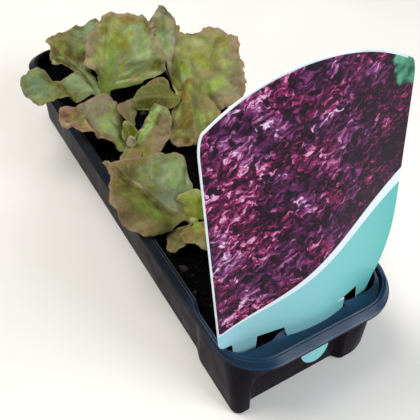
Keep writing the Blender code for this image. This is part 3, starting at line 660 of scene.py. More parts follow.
def tray_section():
    """The tray's outlines from its base, up the outside, over the rim and down inside."""
    base = BASE_HALF_WIDTH
    wall = WALL_HALF_WIDTH
    rim = TRAY_HALF_WIDTH
    end = TRAY_HALF_LENGTH
    foot = FOOT_CORNER
    lip = (FAR_RIM_CORNER, NEAR_RIM_CORNER, NEAR_RIM_CORNER)
    lip_inset = tuple(corner - 0.8 for corner in lip)
    bead = (16.5, 23.0, 23.0)
    outside = (WALL_CORNER,) * 3
    inside = (WALL_CORNER - WALL,) * 3
    return [
        tray_ring(base - 0.4, FOOT_Y - 0.8, 145.2, (13.2, foot, 21.2), 0.0, 4.2, FEET_LINE),
        tray_ring(base + 0.4, FOOT_Y, 146.0, (14.0, foot, 22.0), 1.4, 4.2, FEET_LINE),
        tray_ring(base + 0.5, 145.6, 146.6, (14.0, 8.0, 19.0), 20.0, 3.8, FEET_LINE),
        tray_ring(wall, 143.4, 148.4, outside, 44.0, 5.2, ALCOVE_LINE),
        tray_ring(wall, 143.4, 148.4, outside, 45.0, 5.2, ALCOVE_LINE),
        tray_ring(rim - 0.8, end - 0.8, end - 0.8, lip_inset, 45.6, widen=False),
        tray_ring(rim, end, end, lip, 45.4, widen=False),
        tray_ring(rim, end, end, lip, 46.6, widen=False),
        tray_ring(rim - 0.8, end - 0.8, end - 0.8, lip_inset, 47.0, widen=False),
        tray_ring(49.0, 149.9, 150.2, bead, 49.6),
        tray_ring(48.6, 149.5, 149.8, bead, TRAY_HEIGHT),
        tray_ring(47.9, 148.8, 149.1, (16.0, 22.4, 22.4), 49.1),
        tray_ring(47.2, 148.1, 148.4, (15.5, 21.8, 21.8), TRAY_HEIGHT),
        tray_ring(46.7, 147.5, 147.8, (15.0, 21.2, 21.2), 49.6),
        tray_ring(46.4, LEDGE_OUTER_Y, 147.6, (14.6, 20.8, 20.8), LEDGE_HEIGHT),
        tray_ring(45.9, LEDGE_INNER_Y, 147.4, inside, LEDGE_HEIGHT, 2.0, ALCOVE_LINE),
        tray_ring(45.9, LEDGE_INNER_Y, 147.4, inside, 45.0, 2.0, ALCOVE_LINE),
        tray_ring(wall - WALL, 142.4, 147.3, inside, 43.6, 5.2, ALCOVE_LINE),
        tray_ring(base - 0.5, 144.6, 145.6, (13.0, 7.0, 18.0), 20.0, 3.8, FEET_LINE),
        tray_ring(base - 0.7, FOOT_Y - 1.1, 144.9, (13.0, 4.2, 20.9), 1.6, 4.2, FEET_LINE),
        tray_ring(base - 1.3, FOOT_Y - 1.7, 144.3, (12.4, 4.0, 20.3), WALL, 4.2, FEET_LINE),
    ]


def slit_cutter(bm):
    """A thin curved block where the label's tongue drops through the ledge.

    It reaches from 3 mm below the ledge to 2 mm above it.
    """
    made = bmesh.ops.create_grid(bm, x_segments=24, y_segments=1, size=1.0)
    half = TONGUE_HALF_WIDTH + SLIT_CLEARANCE
    drop = (LEDGE_HEIGHT - TRAY_HEIGHT) / math.cos(math.radians(CARD_LEAN))
    for vert in made["verts"]:
        place = card_point(TONGUE_MIDDLE + vert.co.x * half, drop, -vert.co.y * SLIT_WIDTH / 2)
        vert.co = (place.x, place.y, LEDGE_HEIGHT - 3.0)
    faces = list({face for vert in made["verts"] for face in vert.link_faces})
    made = bmesh.ops.extrude_face_region(bm, geom=faces)["geom"]
    moved = [item for item in made if isinstance(item, bmesh.types.BMVert)]
    bmesh.ops.translate(bm, verts=moved, vec=(0.0, 0.0, 5.0))


def cut_away(piece, cutter_bm):
    """Cut a closed bmesh in millimetres out of a piece."""
    bmesh.ops.recalc_face_normals(cutter_bm, faces=cutter_bm.faces)
    cutter = add_mesh(cutter_bm, "cutter")
    modifier = piece.modifiers.new("openings", "BOOLEAN")
    modifier.operation = "DIFFERENCE"
    modifier.solver = "MANIFOLD"
    modifier.object = cutter
    depsgraph = bpy.context.evaluated_depsgraph_get()
    piece.data = bpy.data.meshes.new_from_object(piece.evaluated_get(depsgraph))
    piece.modifiers.clear()
    bpy.data.objects.remove(cutter, do_unlink=True)


def build_tray(looks):
    bm = bmesh.new()
    sweep_rings(bm, rounded_section(tray_section(), looks.edge_rounding / MM, 2))
    tray = finish_piece(bm, "tray_body", [vacuum_formed_polystyrene(looks)],
                        "tray")
    openings = bmesh.new()
    slit_cutter(openings)
    for y in DRAIN_ROWS:
        for side in (-1, 1):
            bmesh.ops.create_cone(openings, cap_ends=True, segments=24, radius1=DRAIN_RADIUS,
                                  radius2=DRAIN_RADIUS, depth=4.0,
                                  matrix=Matrix.Translation((side * DRAIN_X, y, 0.5)))
    cut_away(tray, openings)
    tray.data.set_sharp_from_angle(angle=math.radians(50))


# Compost


def milled_peat(looks):
    """Milled peat compost, damp.

    Nearly black crumbs with no gloss of their own, brown where they have dried,
    and a few lighter grains.
    """
    material, shader, add = start_material("milled_peat", {"Roughness": 0.9,
                                                           "Specular IOR Level": 0.05})
    place = add("TexCoord").outputs["Object"]
    clods = add("TexNoise", {"Vector": place, "Scale": repeats(9), "Detail": 6.0,
                             "Roughness": 0.65})
    dark = add("ValToRGB", {"Fac": clods}, stops=((0.3, "#020202"), (0.52, looks.peat_colour),
                                                  (0.72, looks.dry_colour)))
    grit = add("TexVoronoi", {"Vector": place, "Scale": repeats(1.7)})
    drawn = add("SeparateColor", {0: grit.outputs["Color"]})
    tan_share = add("MapRange", {"Value": drawn, "From Min": 0.93, "From Max": 1.0,
                                 "To Max": 0.5})
    colour = add("Mix", {0: tan_share, 6: dark, 7: "#241A14"}, data_type="RGBA")
    bump = add("Bump", {"Height": grit, "Distance": 0.0006, "Strength": 0.7})
    feed(shader, {"Base Color": colour, "Normal": bump})
    return material


def composted_bark(looks):
    """Composted pine bark: small matt chips, reddish brown with paler torn edges."""
    return clouded("composted_bark", {"Roughness": 0.85}, 1.6, 3.0,
                   ((0.35, "#120A08"), (0.55, looks.bark_colour), (0.75, "#2E1F18")))


def compost_surface(x, y):
    """Loose peat: a low, lumpy surface that dips towards the label."""
    lumps = (0.9 * math.sin(0.11 * x + 0.07 * y + 0.6)
             + 0.7 * math.sin(0.17 * y - 0.13 * x + 2.1)
             + 0.4 * math.sin(0.31 * x + 0.23 * y))
    return COMPOST_TOP + lumps - 2.0 * ease((-99.0 - y) / 30.0)


def crumbled(x, y):
    """The compost's surface with its clods and crumbs."""
    return (compost_surface(x, y) + 0.9 * uneven(x, y, 6.5, 3.1)
            + 0.65 * uneven(x, y, 2.3, 7.7) + 0.3 * uneven(x, y, 1.1, 1.3))


def build_compost(looks):
    """A lumpy top of quads about 1 mm wide, with sides that narrow to a flat bottom."""
    bm = bmesh.new()
    made = bmesh.ops.create_grid(bm, x_segments=92, y_segments=284, size=1.0)
    corner = WALL_CORNER - WALL
    middle = (COMPOST_FAR_Y - COMPOST_NEAR_Y) / 2
    for vert in made["verts"]:
        y = middle + vert.co.y * (COMPOST_FAR_Y + COMPOST_NEAR_Y) / 2
        end = COMPOST_FAR_Y if y > 0 else COMPOST_NEAR_Y
        over = max(0.0, abs(y) - (end - corner)) / corner
        inset = corner * (1.0 - math.sqrt(max(0.0, 1.0 - over * over)))
        x = vert.co.x * (COMPOST_HALF_WIDTH + END_WIDENING * widening(y) - inset)
        vert.co = (x, y, crumbled(x, y))
    rim = [edge for edge in bm.edges if edge.is_boundary]
    made = bmesh.ops.extrude_edge_only(bm, edges=rim)["geom"]
    for item in made:
        if isinstance(item, bmesh.types.BMVert):
            item.co.x *= (BASE_HALF_WIDTH - 2.0) / COMPOST_HALF_WIDTH
            item.co.y = min(item.co.y, COMPOST_FAR_Y - 4.0)
            item.co.z = COMPOST_BOTTOM
    bmesh.ops.holes_fill(bm, edges=[edge for edge in bm.edges if edge.is_boundary], sides=0)
    bmesh.ops.recalc_face_normals(bm, faces=bm.faces)
    finish_piece(bm, "compost_bed", [milled_peat(looks)], "compost")


def scatter_chips(bm, chooser, count, smallest, largest, flatness):
    """Scatter small angular lumps on the compost, more of the small than the large."""
    for _ in range(count):
        size = smallest + (largest - smallest) * chooser.random() ** 3
        x = chooser.uniform(-CHIPS_X, CHIPS_X)
        y = chooser.uniform(*CHIPS_Y)
        place = Vector((x, y, crumbled(x, y) + size * 0.25))
        turn = Matrix.Rotation(chooser.uniform(0, 6.28), 4, "Z") \
            @ Matrix.Rotation(chooser.uniform(-0.5, 0.5), 4, "X")
        stretch = Matrix.Diagonal((size, size * chooser.uniform(0.55, 0.9),
                                   size * flatness * chooser.uniform(0.7, 1.2), 1.0))
        made = bmesh.ops.create_icosphere(bm, subdivisions=1, radius=1.0,
                                          matrix=Matrix.Translation(place) @ turn @ stretch)
        for vert in made["verts"]:
            vert.co += Vector([chooser.uniform(-1, 1) for _ in range(3)]) * size * 0.22


def scatter_fibres(bm, chooser, count):
    """Lay thin curved sedge fibres on the compost."""
    for _ in range(count):
        length = chooser.uniform(4.0, 11.0)
        x = chooser.uniform(-FIBRES_X, FIBRES_X)
        y = chooser.uniform(*FIBRES_Y)
        before = len(bm.verts)
        made = bmesh.ops.create_cone(bm, cap_ends=True, segments=5, radius1=0.22, radius2=0.1,
                                     depth=length, matrix=Matrix.Rotation(math.pi / 2, 4, "X"))
        long_edges = list({edge for vert in made["verts"] for edge in vert.link_edges
                           if edge.calc_length() > length / 2})
        bmesh.ops.subdivide_edges(bm, edges=long_edges, cuts=4)
        curl = chooser.uniform(-0.06, 0.06)
        turn = Matrix.Rotation(chooser.uniform(0, 6.28), 4, "Z")
        for vert in list(bm.verts)[before:]:
            vert.co.x += curl * vert.co.y ** 2
            vert.co = turn @ vert.co
            vert.co += Vector((x, y, crumbled(x, y) + 0.9))


def build_compost_crumbs(looks):
    chooser = random.Random(SCATTER_SEED)
    crumbs = bmesh.new()
    scatter_chips(crumbs, chooser, looks.crumbs, 0.5, 2.6, 0.8)
    scatter_fibres(crumbs, chooser, looks.fibres)
    finish_piece(crumbs, "compost_crumbs", [milled_peat(looks)], "compost")
    bark = bmesh.new()
    scatter_chips(bark, chooser, looks.bark_chips, 1.0, 3.6, 0.45)
    finish_piece(bark, "bark_chips", [composted_bark(looks)], "compost")


# Label card


def printed_film(looks):
    """Offset print under a clear polypropylene film.

    A generic picture of frilly purple leaves in clumps with dark gaps, over a
    pale green band with a white stripe. The film gives it a smooth gloss.
    """
    material, shader, add = start_material(
        "printed_film", {"Roughness": 0.3, "IOR": 1.49, "Specular IOR Level": 0.12})
    flat = add("Attribute", attribute_name="flat_place").outputs["Vector"]
    parts = add("SeparateXYZ", {0: flat})
    across, height = parts.outputs[0], parts.outputs[1]

    # The clumps are 13 mm across; their outlines are bent by slow noise.
    drift = add("TexNoise", {"Vector": flat, "Scale": 1 / 7.0, "Detail": 3.0})
    bent = add("VectorMath", {0: drift.outputs["Color"], 1: (9.0, 9.0, 0.0), 2: flat},
               operation="MULTIPLY_ADD")
    clumps = add("TexVoronoi", {"Vector": bent, "Scale": 1 / 13.0}, feature="SMOOTH_F1")
    gaps = add("MapRange", {"Value": clumps, "From Min": 0.3, "From Max": 0.75,
                            "To Min": 1.0, "To Max": 0.35})

    # Curls of 2.6 mm and crinkles of 1.2 mm, lit from above: what the picture gains in
    # a short step upwards is bright and what it loses is dark.
    crinkle = add("TexNoise", {"Vector": bent, "Scale": 1 / 2.2, "Detail": 3.0})
    curled = add("VectorMath", {0: crinkle.outputs["Color"], 1: (3.0, 3.0, 0.0), 2: bent},
                 operation="MULTIPLY_ADD")
    gains = []
    for size, step in ((2.6, 0.45), (1.2, 0.25)):
        heights = []
        for shift in (0.0, step):
            moved = add("VectorMath", {0: curled, 1: (-0.5 * shift, shift, 0.0)},
                        operation="ADD")
            heights.append(add("TexVoronoi", {"Vector": moved, "Scale": 1 / size},
                               feature="SMOOTH_F1"))
        gained = add("Math", {0: heights[1], 1: heights[0]}, operation="SUBTRACT")
        gains.append(add("MapRange", {"Value": gained, "From Min": -0.1, "From Max": 0.16}))
    relief = add("Math", {0: gains[1], 1: 0.45, 2: gains[0]}, operation="MULTIPLY_ADD")

    # Each small leaf has its own brightness, the clumps have shaded sides, and the
    # whole picture darkens towards its right side.
    facets = add("TexVoronoi", {"Vector": curled, "Scale": 1 / 3.4})
    facet = add("SeparateColor", {0: facets.outputs["Color"]})
    shade = add("TexNoise", {"Vector": flat, "Scale": 1 / 15.0, "Detail": 3.0})
    shaded = add("MapRange", {"Value": shade, "From Min": 0.38, "From Max": 0.6,
                              "To Min": 0.55, "To Max": 1.2})
    dimmed = add("MapRange", {"Value": across, "From Min": -45.0, "From Max": 40.0,
                              "To Min": 1.35, "To Max": 0.62})
    light = add("Math", {0: facet, 1: 0.8, 2: 0.12}, operation="MULTIPLY_ADD")
    for share in (relief, gaps, shaded, dimmed):
        light = add("Math", {0: light, 1: share}, operation="MULTIPLY")

    # Lilac zones, and crimson ones with glints.
    glints = add("TexVoronoi", {"Vector": bent, "Scale": 1 / 1.5})
    glint = add("MapRange", {"Value": glints, "From Min": 0.34, "From Max": 0.1})
    glinting = add("Math", {0: glint, 1: 0.3, 2: light}, operation="MULTIPLY_ADD")
    lilac = add("ValToRGB", {"Fac": light}, stops=(
        (0.05, looks.gap_colour), (0.18, "#491B44"), (0.38, "#803870"),
        (0.62, looks.lilac_colour), (0.9, "#E6CCE8")))
    crimson = add("ValToRGB", {"Fac": glinting}, stops=(
        (0.08, looks.gap_colour), (0.24, "#54143E"), (0.5, looks.crimson_colour),
        (0.85, "#E6A6CE")))
    zones = add("TexNoise", {"Vector": flat, "Scale": 1 / 26.0, "Detail": 2.0})
    zone_share = add("MapRange", {"Value": zones, "From Min": 0.44, "From Max": 0.54})
    purple = add("Mix", {0: zone_share, 6: lilac, 7: crimson}, data_type="RGBA")

    # A green leaf of another plant shows in the picture's top right corner.
    green = add("ValToRGB", {"Fac": drift}, stops=((0.35, "#1B5A48"), (0.62, "#62AA8A")))
    away = add("VectorMath", {0: curled, 1: (56.0, 133.0, 0.0)}, operation="DISTANCE")
    green_share = add("MapRange", {"Value": away, "From Min": 15.0, "From Max": 13.0})
    picture = add("Mix", {0: green_share, 6: purple, 7: green}, data_type="RGBA")

    # The white stripe lies between two curves that climb to the right.
    edges = []
    for bend, slope, start in ((0.00204, 0.556, 35.4), (0.0018, 0.478, 31.2)):
        leaning = add("Math", {0: across, 1: bend, 2: slope}, operation="MULTIPLY_ADD")
        level = add("Math", {0: leaning, 1: across, 2: start}, operation="MULTIPLY_ADD")
        above = add("Math", {0: height, 1: level}, operation="SUBTRACT")
        edges.append(add("MapRange", {"Value": above, "From Min": -0.15, "From Max": 0.15}))
    band_share = add("MapRange", {"Value": across, "From Min": -45.0, "From Max": 48.0})
    band = add("Mix", {0: band_share, 6: looks.band_left_colour, 7: looks.band_right_colour},
               data_type="RGBA")
    stripe = add("Mix", {0: edges[1], 6: band, 7: looks.card_colour}, data_type="RGBA")
    printed = add("Mix", {0: edges[0], 6: stripe, 7: picture}, data_type="RGBA")
    colour = speckled(add, printed, flat, 1 / 6.0, (0.06, 0.03), 0.8, "#4A3A30")
    feed(shader, {"Base Color": colour})
    return material


def coated_white_card(looks):
    """Coated white board under the print: bright, slightly glossy and faintly mottled."""
    return clouded("coated_white_card", {"Roughness": 0.42, "IOR": 1.49}, 11, 4.0,
                   ((0.3, "#D3DEE2"), (0.6, looks.card_colour)))


def card_point(x, height, offset=0.0):
    """Where a point of the flat label lies once it is bowed and leans back.

    x is across the label, height is along it from the foot, offset is in front.
    """
    lean = math.radians(CARD_LEAN)
    reach = max(-1.0, min(1.0, (x - TONGUE_MIDDLE) / CARD_BOW_REACH))
    fading = 1.0 - CARD_BOW_FADING * ease(height / CARD_BOW_FADED_AT)
    bow = CARD_BOW * math.cos(math.pi / 2 * reach) ** 2 * fading
    slope = (CARD_BOW * fading * math.pi / (2 * CARD_BOW_REACH)
             * math.sin(math.pi * reach))
    turn = math.atan(slope)
    y = CARD_FOOT_Y - bow + height * math.sin(lean)
    return Vector((
        x - offset * math.sin(turn),
        y - offset * math.cos(turn) * math.cos(lean),
        TRAY_HEIGHT + height * math.cos(lean) - offset * math.sin(lean),
    ))


def card_arch(x):
    """The height of the label's arched top."""
    return CARD_TOP - CARD_ARCH_FALL * ((x - CARD_MIDDLE) / CARD_HALF_WIDTH) ** 2


def card_outline():
    """The label's flat outline, anticlockwise from its left tab."""
    left = CARD_MIDDLE - CARD_HALF_WIDTH
    right = CARD_MIDDLE + CARD_HALF_WIDTH
    tongue_left = TONGUE_MIDDLE - TONGUE_HALF_WIDTH
    tongue_right = TONGUE_MIDDLE + TONGUE_HALF_WIDTH
    outline = [(-45.2, 1.0), (-44.4, -TAB_DEPTH), (-33.0, -TAB_DEPTH), (-32.0, 1.0),
               (tongue_left - 1.5, 2.4), (tongue_left, -3.4), (tongue_left + 1.0, -8.0),
               (TONGUE_MIDDLE - 9.0, -26.0)]
    outline += arc_points(TONGUE_MIDDLE, -26.0, 9.0, TONGUE_DEPTH - 26.0, 200.0, 340.0, 12)
    outline += [(TONGUE_MIDDLE + 9.0, -26.0), (tongue_right - 1.0, -8.0), (tongue_right, 1.5),
                (tongue_right - 6.0, 3.0), (29.0, 3.4), (30.0, -TAB_DEPTH + 1.0),
                (37.5, -TAB_DEPTH + 1.5)]
    outline += arc_points(37.5, 48.0, right - 37.5, 48.0, -72.0, 0.0, 16)
    steps = 40
    for step in range(steps + 1):
        x = right + (left - right) * step / steps
        outline.append((x, card_arch(x)))
    outline += arc_points(left + 4.0, 5.0, 4.0, 4.0, 180.0, 260.0, 6)
    turn = math.tan(math.radians(CARD_TWIST))
    return [(x - turn * max(0.0, y - CARD_TWIST_FROM), y) for x, y in outline]


def bisect(bm, point, normal):
    """Cut every face along a plane."""
    everything = list(bm.verts) + list(bm.edges) + list(bm.faces)
    bmesh.ops.bisect_plane(bm, geom=everything, dist=0.001, plane_co=point, plane_no=normal)


def build_label(looks):
    """A thin bowed card with two tabs and a middle tongue, cut in strips to bend."""
    bm = bmesh.new()
    verts = [bm.verts.new((x, height, 0.0)) for x, height in card_outline()]
    bm.faces.new(verts)
    # The twist has moved the top corners 3.5 mm to the left.
    top_corners = [vert for vert in verts if vert.co.y > 100.0
                   and abs(vert.co.x + 3.5) > CARD_HALF_WIDTH - 0.6]
    bmesh.ops.bevel(bm, geom=top_corners, offset=CARD_CORNER, segments=8, profile=0.5,
                    affect="VERTICES", material=-1)
    bisect(bm, (0.0, BORDER_FROM, 0.0), (0.0, 1.0, 0.0))
    body = [face for face in bm.faces if face.calc_center_median().y > BORDER_FROM]
    bordered = bmesh.ops.inset_region(bm, faces=body, use_boundary=True, use_even_offset=True,
                                      thickness=looks.border_width / MM)["faces"]
    # The border is bare along the left side and the arch, and printed over elsewhere.
    for face in bordered:
        middle = face.calc_center_median()
        face.material_index = int(middle.y > BORDER_FROM + 2.0
                                  and middle.x < CARD_HALF_WIDTH - CARD_CORNER)
    for x in range(-56, 56, CARD_STRIP):
        bisect(bm, (x, 0.0, 0.0), (1.0, 0.0, 0.0))
    for height in range(-32, 142, CARD_ROW):
        bisect(bm, (0.0, height, 0.0), (0.0, 1.0, 0.0))
    flat_place = bm.verts.layers.float_vector.new("flat_place")
    for vert in bm.verts:
        vert[flat_place] = vert.co
    made = bmesh.ops.extrude_face_region(bm, geom=list(bm.faces))["geom"]
    front = {item for item in made if isinstance(item, bmesh.types.BMVert)}
    for face in bm.faces:
        if not all(vert in front for vert in face.verts):
            face.material_index = 1
    for vert in bm.verts:
        side = CARD_THICKNESS / 2 if vert in front else -CARD_THICKNESS / 2
        vert.co = card_point(vert.co.x, vert.co.y, side)
    bmesh.ops.recalc_face_normals(bm, faces=bm.faces)
    label = finish_piece(bm, "label_sheet", [printed_film(looks), coated_white_card(looks)],
                         "label_card")
    label.data.set_sharp_from_angle(angle=math.radians(50))


# Plants


def lettuce_blade(looks):
    """Lettuce leaf, grown in the open: a thin waxy skin over moist green tissue.

    It has a soft sheen, lets a little light through, and shows pale side veins
    with a net of fine ones between them and small brown specks.
    """
    material, shader, add = start_material("lettuce_blade", {
        "Roughness": 0.44, "IOR": 1.4, "Specular IOR Level": 0.25, "Subsurface Weight": 0.12,
        "Subsurface Radius": (0.4, 1.0, 0.2), "Subsurface Scale": 0.0012})
    tint = add("Attribute", attribute_name="tint")
    blade = add("Attribute", attribute_name="blade_place").outputs["Vector"]
    parts = add("SeparateXYZ", {0: blade})

    # Side veins leave the midrib every VEIN_SPACING mm and climb towards the tip.
    from_rib = add("Math", {0: parts}, operation="ABSOLUTE")
    wobble = add("TexNoise", {"Vector": blade, "Scale": 1 / 7.0, "Detail": 2.0})
    climbed = add("Math", {0: from_rib, 1: -VEIN_CLIMB, 2: parts.outputs[1]},
                  operation="MULTIPLY_ADD")
    wandering = add("Math", {0: wobble, 1: 8.0, 2: climbed}, operation="MULTIPLY_ADD")
    beside = add("Math", {0: wandering, 1: VEIN_SPACING / 2}, operation="PINGPONG")
    side_veins = add("MapRange", {"Value": beside, "From Min": 0.45, "From Max": 0.05})
    rib = add("MapRange", {"Value": from_rib, "From Min": 1.3, "From Max": 0.5})
    net = add("TexVoronoi", {"Vector": blade, "Scale": 1 / 3.0}, feature="DISTANCE_TO_EDGE")
    net_lines = add("MapRange", {"Value": net, "From Min": 0.1, "From Max": 0.02,
                                 "To Max": 0.55})
    veins = add("Math", {0: side_veins, 1: net_lines}, operation="MAXIMUM")
    veins = add("Math", {0: veins, 1: rib}, operation="MAXIMUM")
    vein_share = add("Math", {0: veins, 1: 0.12}, operation="MULTIPLY")
    veined = add("Mix", {0: vein_share, 6: tint, 7: looks.vein_colour}, data_type="RGBA")

    mottle = add("TexNoise", {"Vector": blade, "Scale": 1 / 3.4, "Detail": 5.0,
                              "Roughness": 0.62})
    mottle_share = add("MapRange", {"Value": mottle, "From Min": 0.3, "From Max": 0.7,
                                    "To Min": 0.84, "To Max": 1.16})
    mottled = add("VectorMath", {0: veined, 3: mottle_share}, operation="SCALE")
    colour = speckled(add, mottled, add("TexCoord").outputs["Object"], repeats(4.2),
                      (0.12, 0.06), 0.7, "#54402C")
    pores = add("TexNoise", {"Vector": blade, "Scale": 1 / 1.1, "Detail": 3.0})
    relief = add("Math", {0: veins, 1: -0.6, 2: pores}, operation="MULTIPLY_ADD")
    bump = add("Bump", {"Height": relief, "Distance": 0.0003, "Strength": 0.6})
    feed(shader, {"Base Color": colour, "Normal": bump})
    return material


def lettuce_stem():
    """Lettuce stem: firm, pale and faintly pink, with fine upright fibres."""
    material, shader, add = start_material("lettuce_stem", {"Roughness": 0.5, "IOR": 1.4})
    upright = add("Mapping", {0: add("TexCoord").outputs["Object"], 3: (1.0, 1.0, 0.12)})
    fibres = add("TexNoise", {"Vector": upright, "Scale": repeats(0.8), "Detail": 3.0})
    colour = add("ValToRGB", {"Fac": fibres},
                 stops=((0.35, "#7F8650"), (0.6, "#A8A478"), (0.75, "#B59A84")))
    feed(shader, {"Base Color": colour})
    return material


def midrib(leaf, crown):
    """The points and directions of a leaf's midrib at even steps from its foot."""
    start = math.radians(leaf["heading"])
    point = Vector(leaf["start"] or (crown[0] + LEAF_START * math.cos(start),
                                     crown[1] + LEAF_START * math.sin(start),
                                     CROWN_HEIGHT + leaf["level"]))
    places = []
    for step in range(MIDRIB_STEPS + 1):
        share = step / MIDRIB_STEPS
        along = direction(leaf["heading"] + leaf["sweep"] * share,
                          leaf["rise"] - leaf["fall"] * share ** leaf["bend"])
        places.append((point, along))
        point = point + along * (leaf["length"] / MIDRIB_STEPS)
    return places


def at_reach(places, reach):
    """A point and direction of the midrib at a share of its length."""
    place = clamped(reach) * (len(places) - 1)
    number = min(int(place), len(places) - 2)
    share = place - number
    (point, along), (next_point, next_along) = places[number], places[number + 1]
    return point.lerp(next_point, share), along.lerp(next_along, share).normalized()


def edge_width(edges, reach, side):
    """The blade's width beside the midrib, smoothly through the given edge points."""
    number = 0
    while number < len(edges) - 2 and edges[number + 1][0] < reach:
        number += 1
    before, start, end, after = (edges[min(max(number + step, 0), len(edges) - 1)]
                                 for step in (-1, 0, 1, 2))
    # A cubic from start to end, with the slopes between the points beside each.
    span = end[0] - start[0]
    share = clamped((reach - start[0]) / span)
    leaving = (end[side] - before[side]) / (end[0] - before[0]) * span
    arriving = (after[side] - start[side]) / (after[0] - start[0]) * span
    return ((2 * share ** 3 - 3 * share ** 2 + 1) * start[side]
            + (share ** 3 - 2 * share ** 2 + share) * leaving
            + (3 * share ** 2 - 2 * share ** 3) * end[side]
            + (share ** 3 - share ** 2) * arriving)


def plain_share(stalk, along):
    """The usual leaf's half width along its length, as a share of the widest."""
    if along < WIDEST:
        return stalk + (1 - stalk) * ease((along - PETIOLE) / (WIDEST - PETIOLE))
    return 1 - BLUNT * ((along - WIDEST) / (1 - WIDEST)) ** 2


def leaf_place(leaf, places, along, across):
    """Where a point of a leaf lies, and its place on the flat blade in millimetres.

    along is 0 to 1, across is -1 (left) to 1. The flat place is the distance to
    the right of the midrib, the distance along it and that from the margin.
    """
    half = leaf["width"] / 2
    length = leaf["length"]
    # Opening is 0 at the stalk and 1 where the blade has spread.
    if leaf["edges"]:
        opening = ease((along - 0.04) / 0.2)
        reach = along * leaf["end"]
        half_here = edge_width(leaf["edges"], reach, 1 if across < 0 else 2)
    else:
        opening = ease((along - PETIOLE) / 0.3)
        half_here = half * plain_share(leaf["stalk"], along)
        reach = along * (1 - 0.25 * (across * along) ** 2)
        reach = max(0.0, reach - EAR * across ** 2 * opening * (1 - along))
    to_side = half_here * (1 - abs(across))
    to_tip = length * (1 - along)
    margin = to_side * to_tip / max(math.hypot(to_side, to_tip), 0.001)
    # Scallops of about 5 mm die away some 4 mm from the margin.
    seed = leaf["heading"] + length
    rim = math.exp(-margin / 4.0) * opening
    rimmed = Vector((reach * length / 5.0, math.copysign(half_here / 5.0, across), seed))
    scallop = (noise.noise(rimmed) * 1.3 + noise.noise(rimmed * 2.7) * 0.8) * leaf["scallop"]
    side = (half_here + scallop * rim) * across
    reach += scallop * rim * max(0.0, along - 0.5) / length
    flat = Vector((side, reach * length, margin))

    middle, forward = at_reach(places, reach)
    middle = middle + forward * max(0.0, reach - 1.0) * length
    right, up = right_and_up(forward, leaf["roll"] * ease(reach / 0.35))
    fold = math.radians(leaf["fold"])
    # The waves run round the blade's middle and grow towards its edge.
    wave_around = math.atan2(side / half, (reach - 0.45) / 0.5)
    edge = ease((max(abs(across), (along - 0.3) / 0.7) - 0.25) / 0.75)
    wave = leaf["ruffle"] * edge * opening * math.sin(leaf["waves"] * wave_around + WAVE_PHASE)
    lift = abs(side) * math.sin(fold) + wave + leaf_relief(leaf, flat, seed, opening)
    return middle + right * side * math.cos(fold) + up * lift, flat


def away_from(line, flat):
    """How far a place on the flat blade is from a point or from a line of points."""
    nearest = math.inf
    for (x, y), (next_x, next_y) in zip(line, line[1:] or line):
        span = (next_x - x, next_y - y)
        share = clamped(((flat.x - x) * span[0] + (flat.y - y) * span[1])
                        / max(span[0] ** 2 + span[1] ** 2, 0.001))
        nearest = min(nearest, math.hypot(flat.x - x - span[0] * share,
                                          flat.y - y - span[1] * share))
    return nearest


def leaf_relief(leaf, flat, seed, opening):
    """Frilled margin, folds, blistered skin between the veins and the midrib's channel."""
    # Leaves shorter than 50 mm have less relief.
    small = min(1.0, leaf["length"] / 50.0)
    frill = (2.6 * uneven(flat.x, flat.y, 8.0, seed + 9.0)
             + 1.2 * uneven(flat.x, flat.y, 3.2, seed + 2.0))
    frill *= math.exp(-flat.z / 5.0) * opening * small
    blister = 2.0 * uneven(flat.x, flat.y, 13.0, seed) + 0.55 * uneven(flat.x, flat.y, 4.5, seed)
    climbed = (flat.y - VEIN_CLIMB * abs(flat.x)) / VEIN_SPACING
    beside = abs(climbed - round(climbed)) * VEIN_SPACING
    puff = 0.25 * (1 - math.exp(-(beside / 1.8) ** 2))
    channel = -0.7 * math.exp(-(flat.x / 1.7) ** 2)
    folded = sum(height * math.exp(-(away_from(line, flat) / width) ** 2)
                 for width, height, *line in leaf["folds"])
    return frill + (blister + puff) * opening * small + channel * small + folded * opening


def leaf_colour(leaf, along, across, flat):
    """The colour of a leaf where a point lies, from its zones, patches and margin."""
    seed = leaf["heading"] * 0.37
    cloud = uneven(flat.x, flat.y, 9.0, seed)
    fine = uneven(flat.x, flat.y, 2.6, seed + 7.0)
    side = ease(0.5 + 0.9 * across + 0.35 * cloud)
    colour = mixed(linear(leaf["left"]), linear(leaf["right"]), side)
    colour = mixed(linear(leaf["foot"]), colour, ease((along - 0.08 + 0.1 * cloud) / 0.3))
    colour = mixed(colour, linear(leaf["tip"]), ease((along - 0.72 + 0.14 * cloud) / 0.25))
    for radius, patch_colour, *line in leaf["patches"]:
        away = away_from(line, flat) / radius + 0.35 * cloud + 0.2 * fine
        colour = mixed(colour, linear(patch_colour), 1 - ease((away - 0.3) / 1.1))
    blotch = uneven(flat.x, flat.y, 5.5, seed + 2.0) + 0.5 * fine
    colour = mixed(colour, linear(leaf["vivid"]),
                   0.5 * ease(1.5 * blotch) * ease(flat.z / 8.0))
    fringe = uneven(flat.x, flat.y, 3.2, seed + 4.0)
    width = leaf["margin_width"] * (1 + 0.9 * fringe + 0.5 * cloud)
    edge = 1 - ease(flat.z / max(width, 0.3) - 0.25)
    return mixed(colour, linear(leaf["margin"]), 0.85 * edge * ease((along - 0.2) / 0.2))


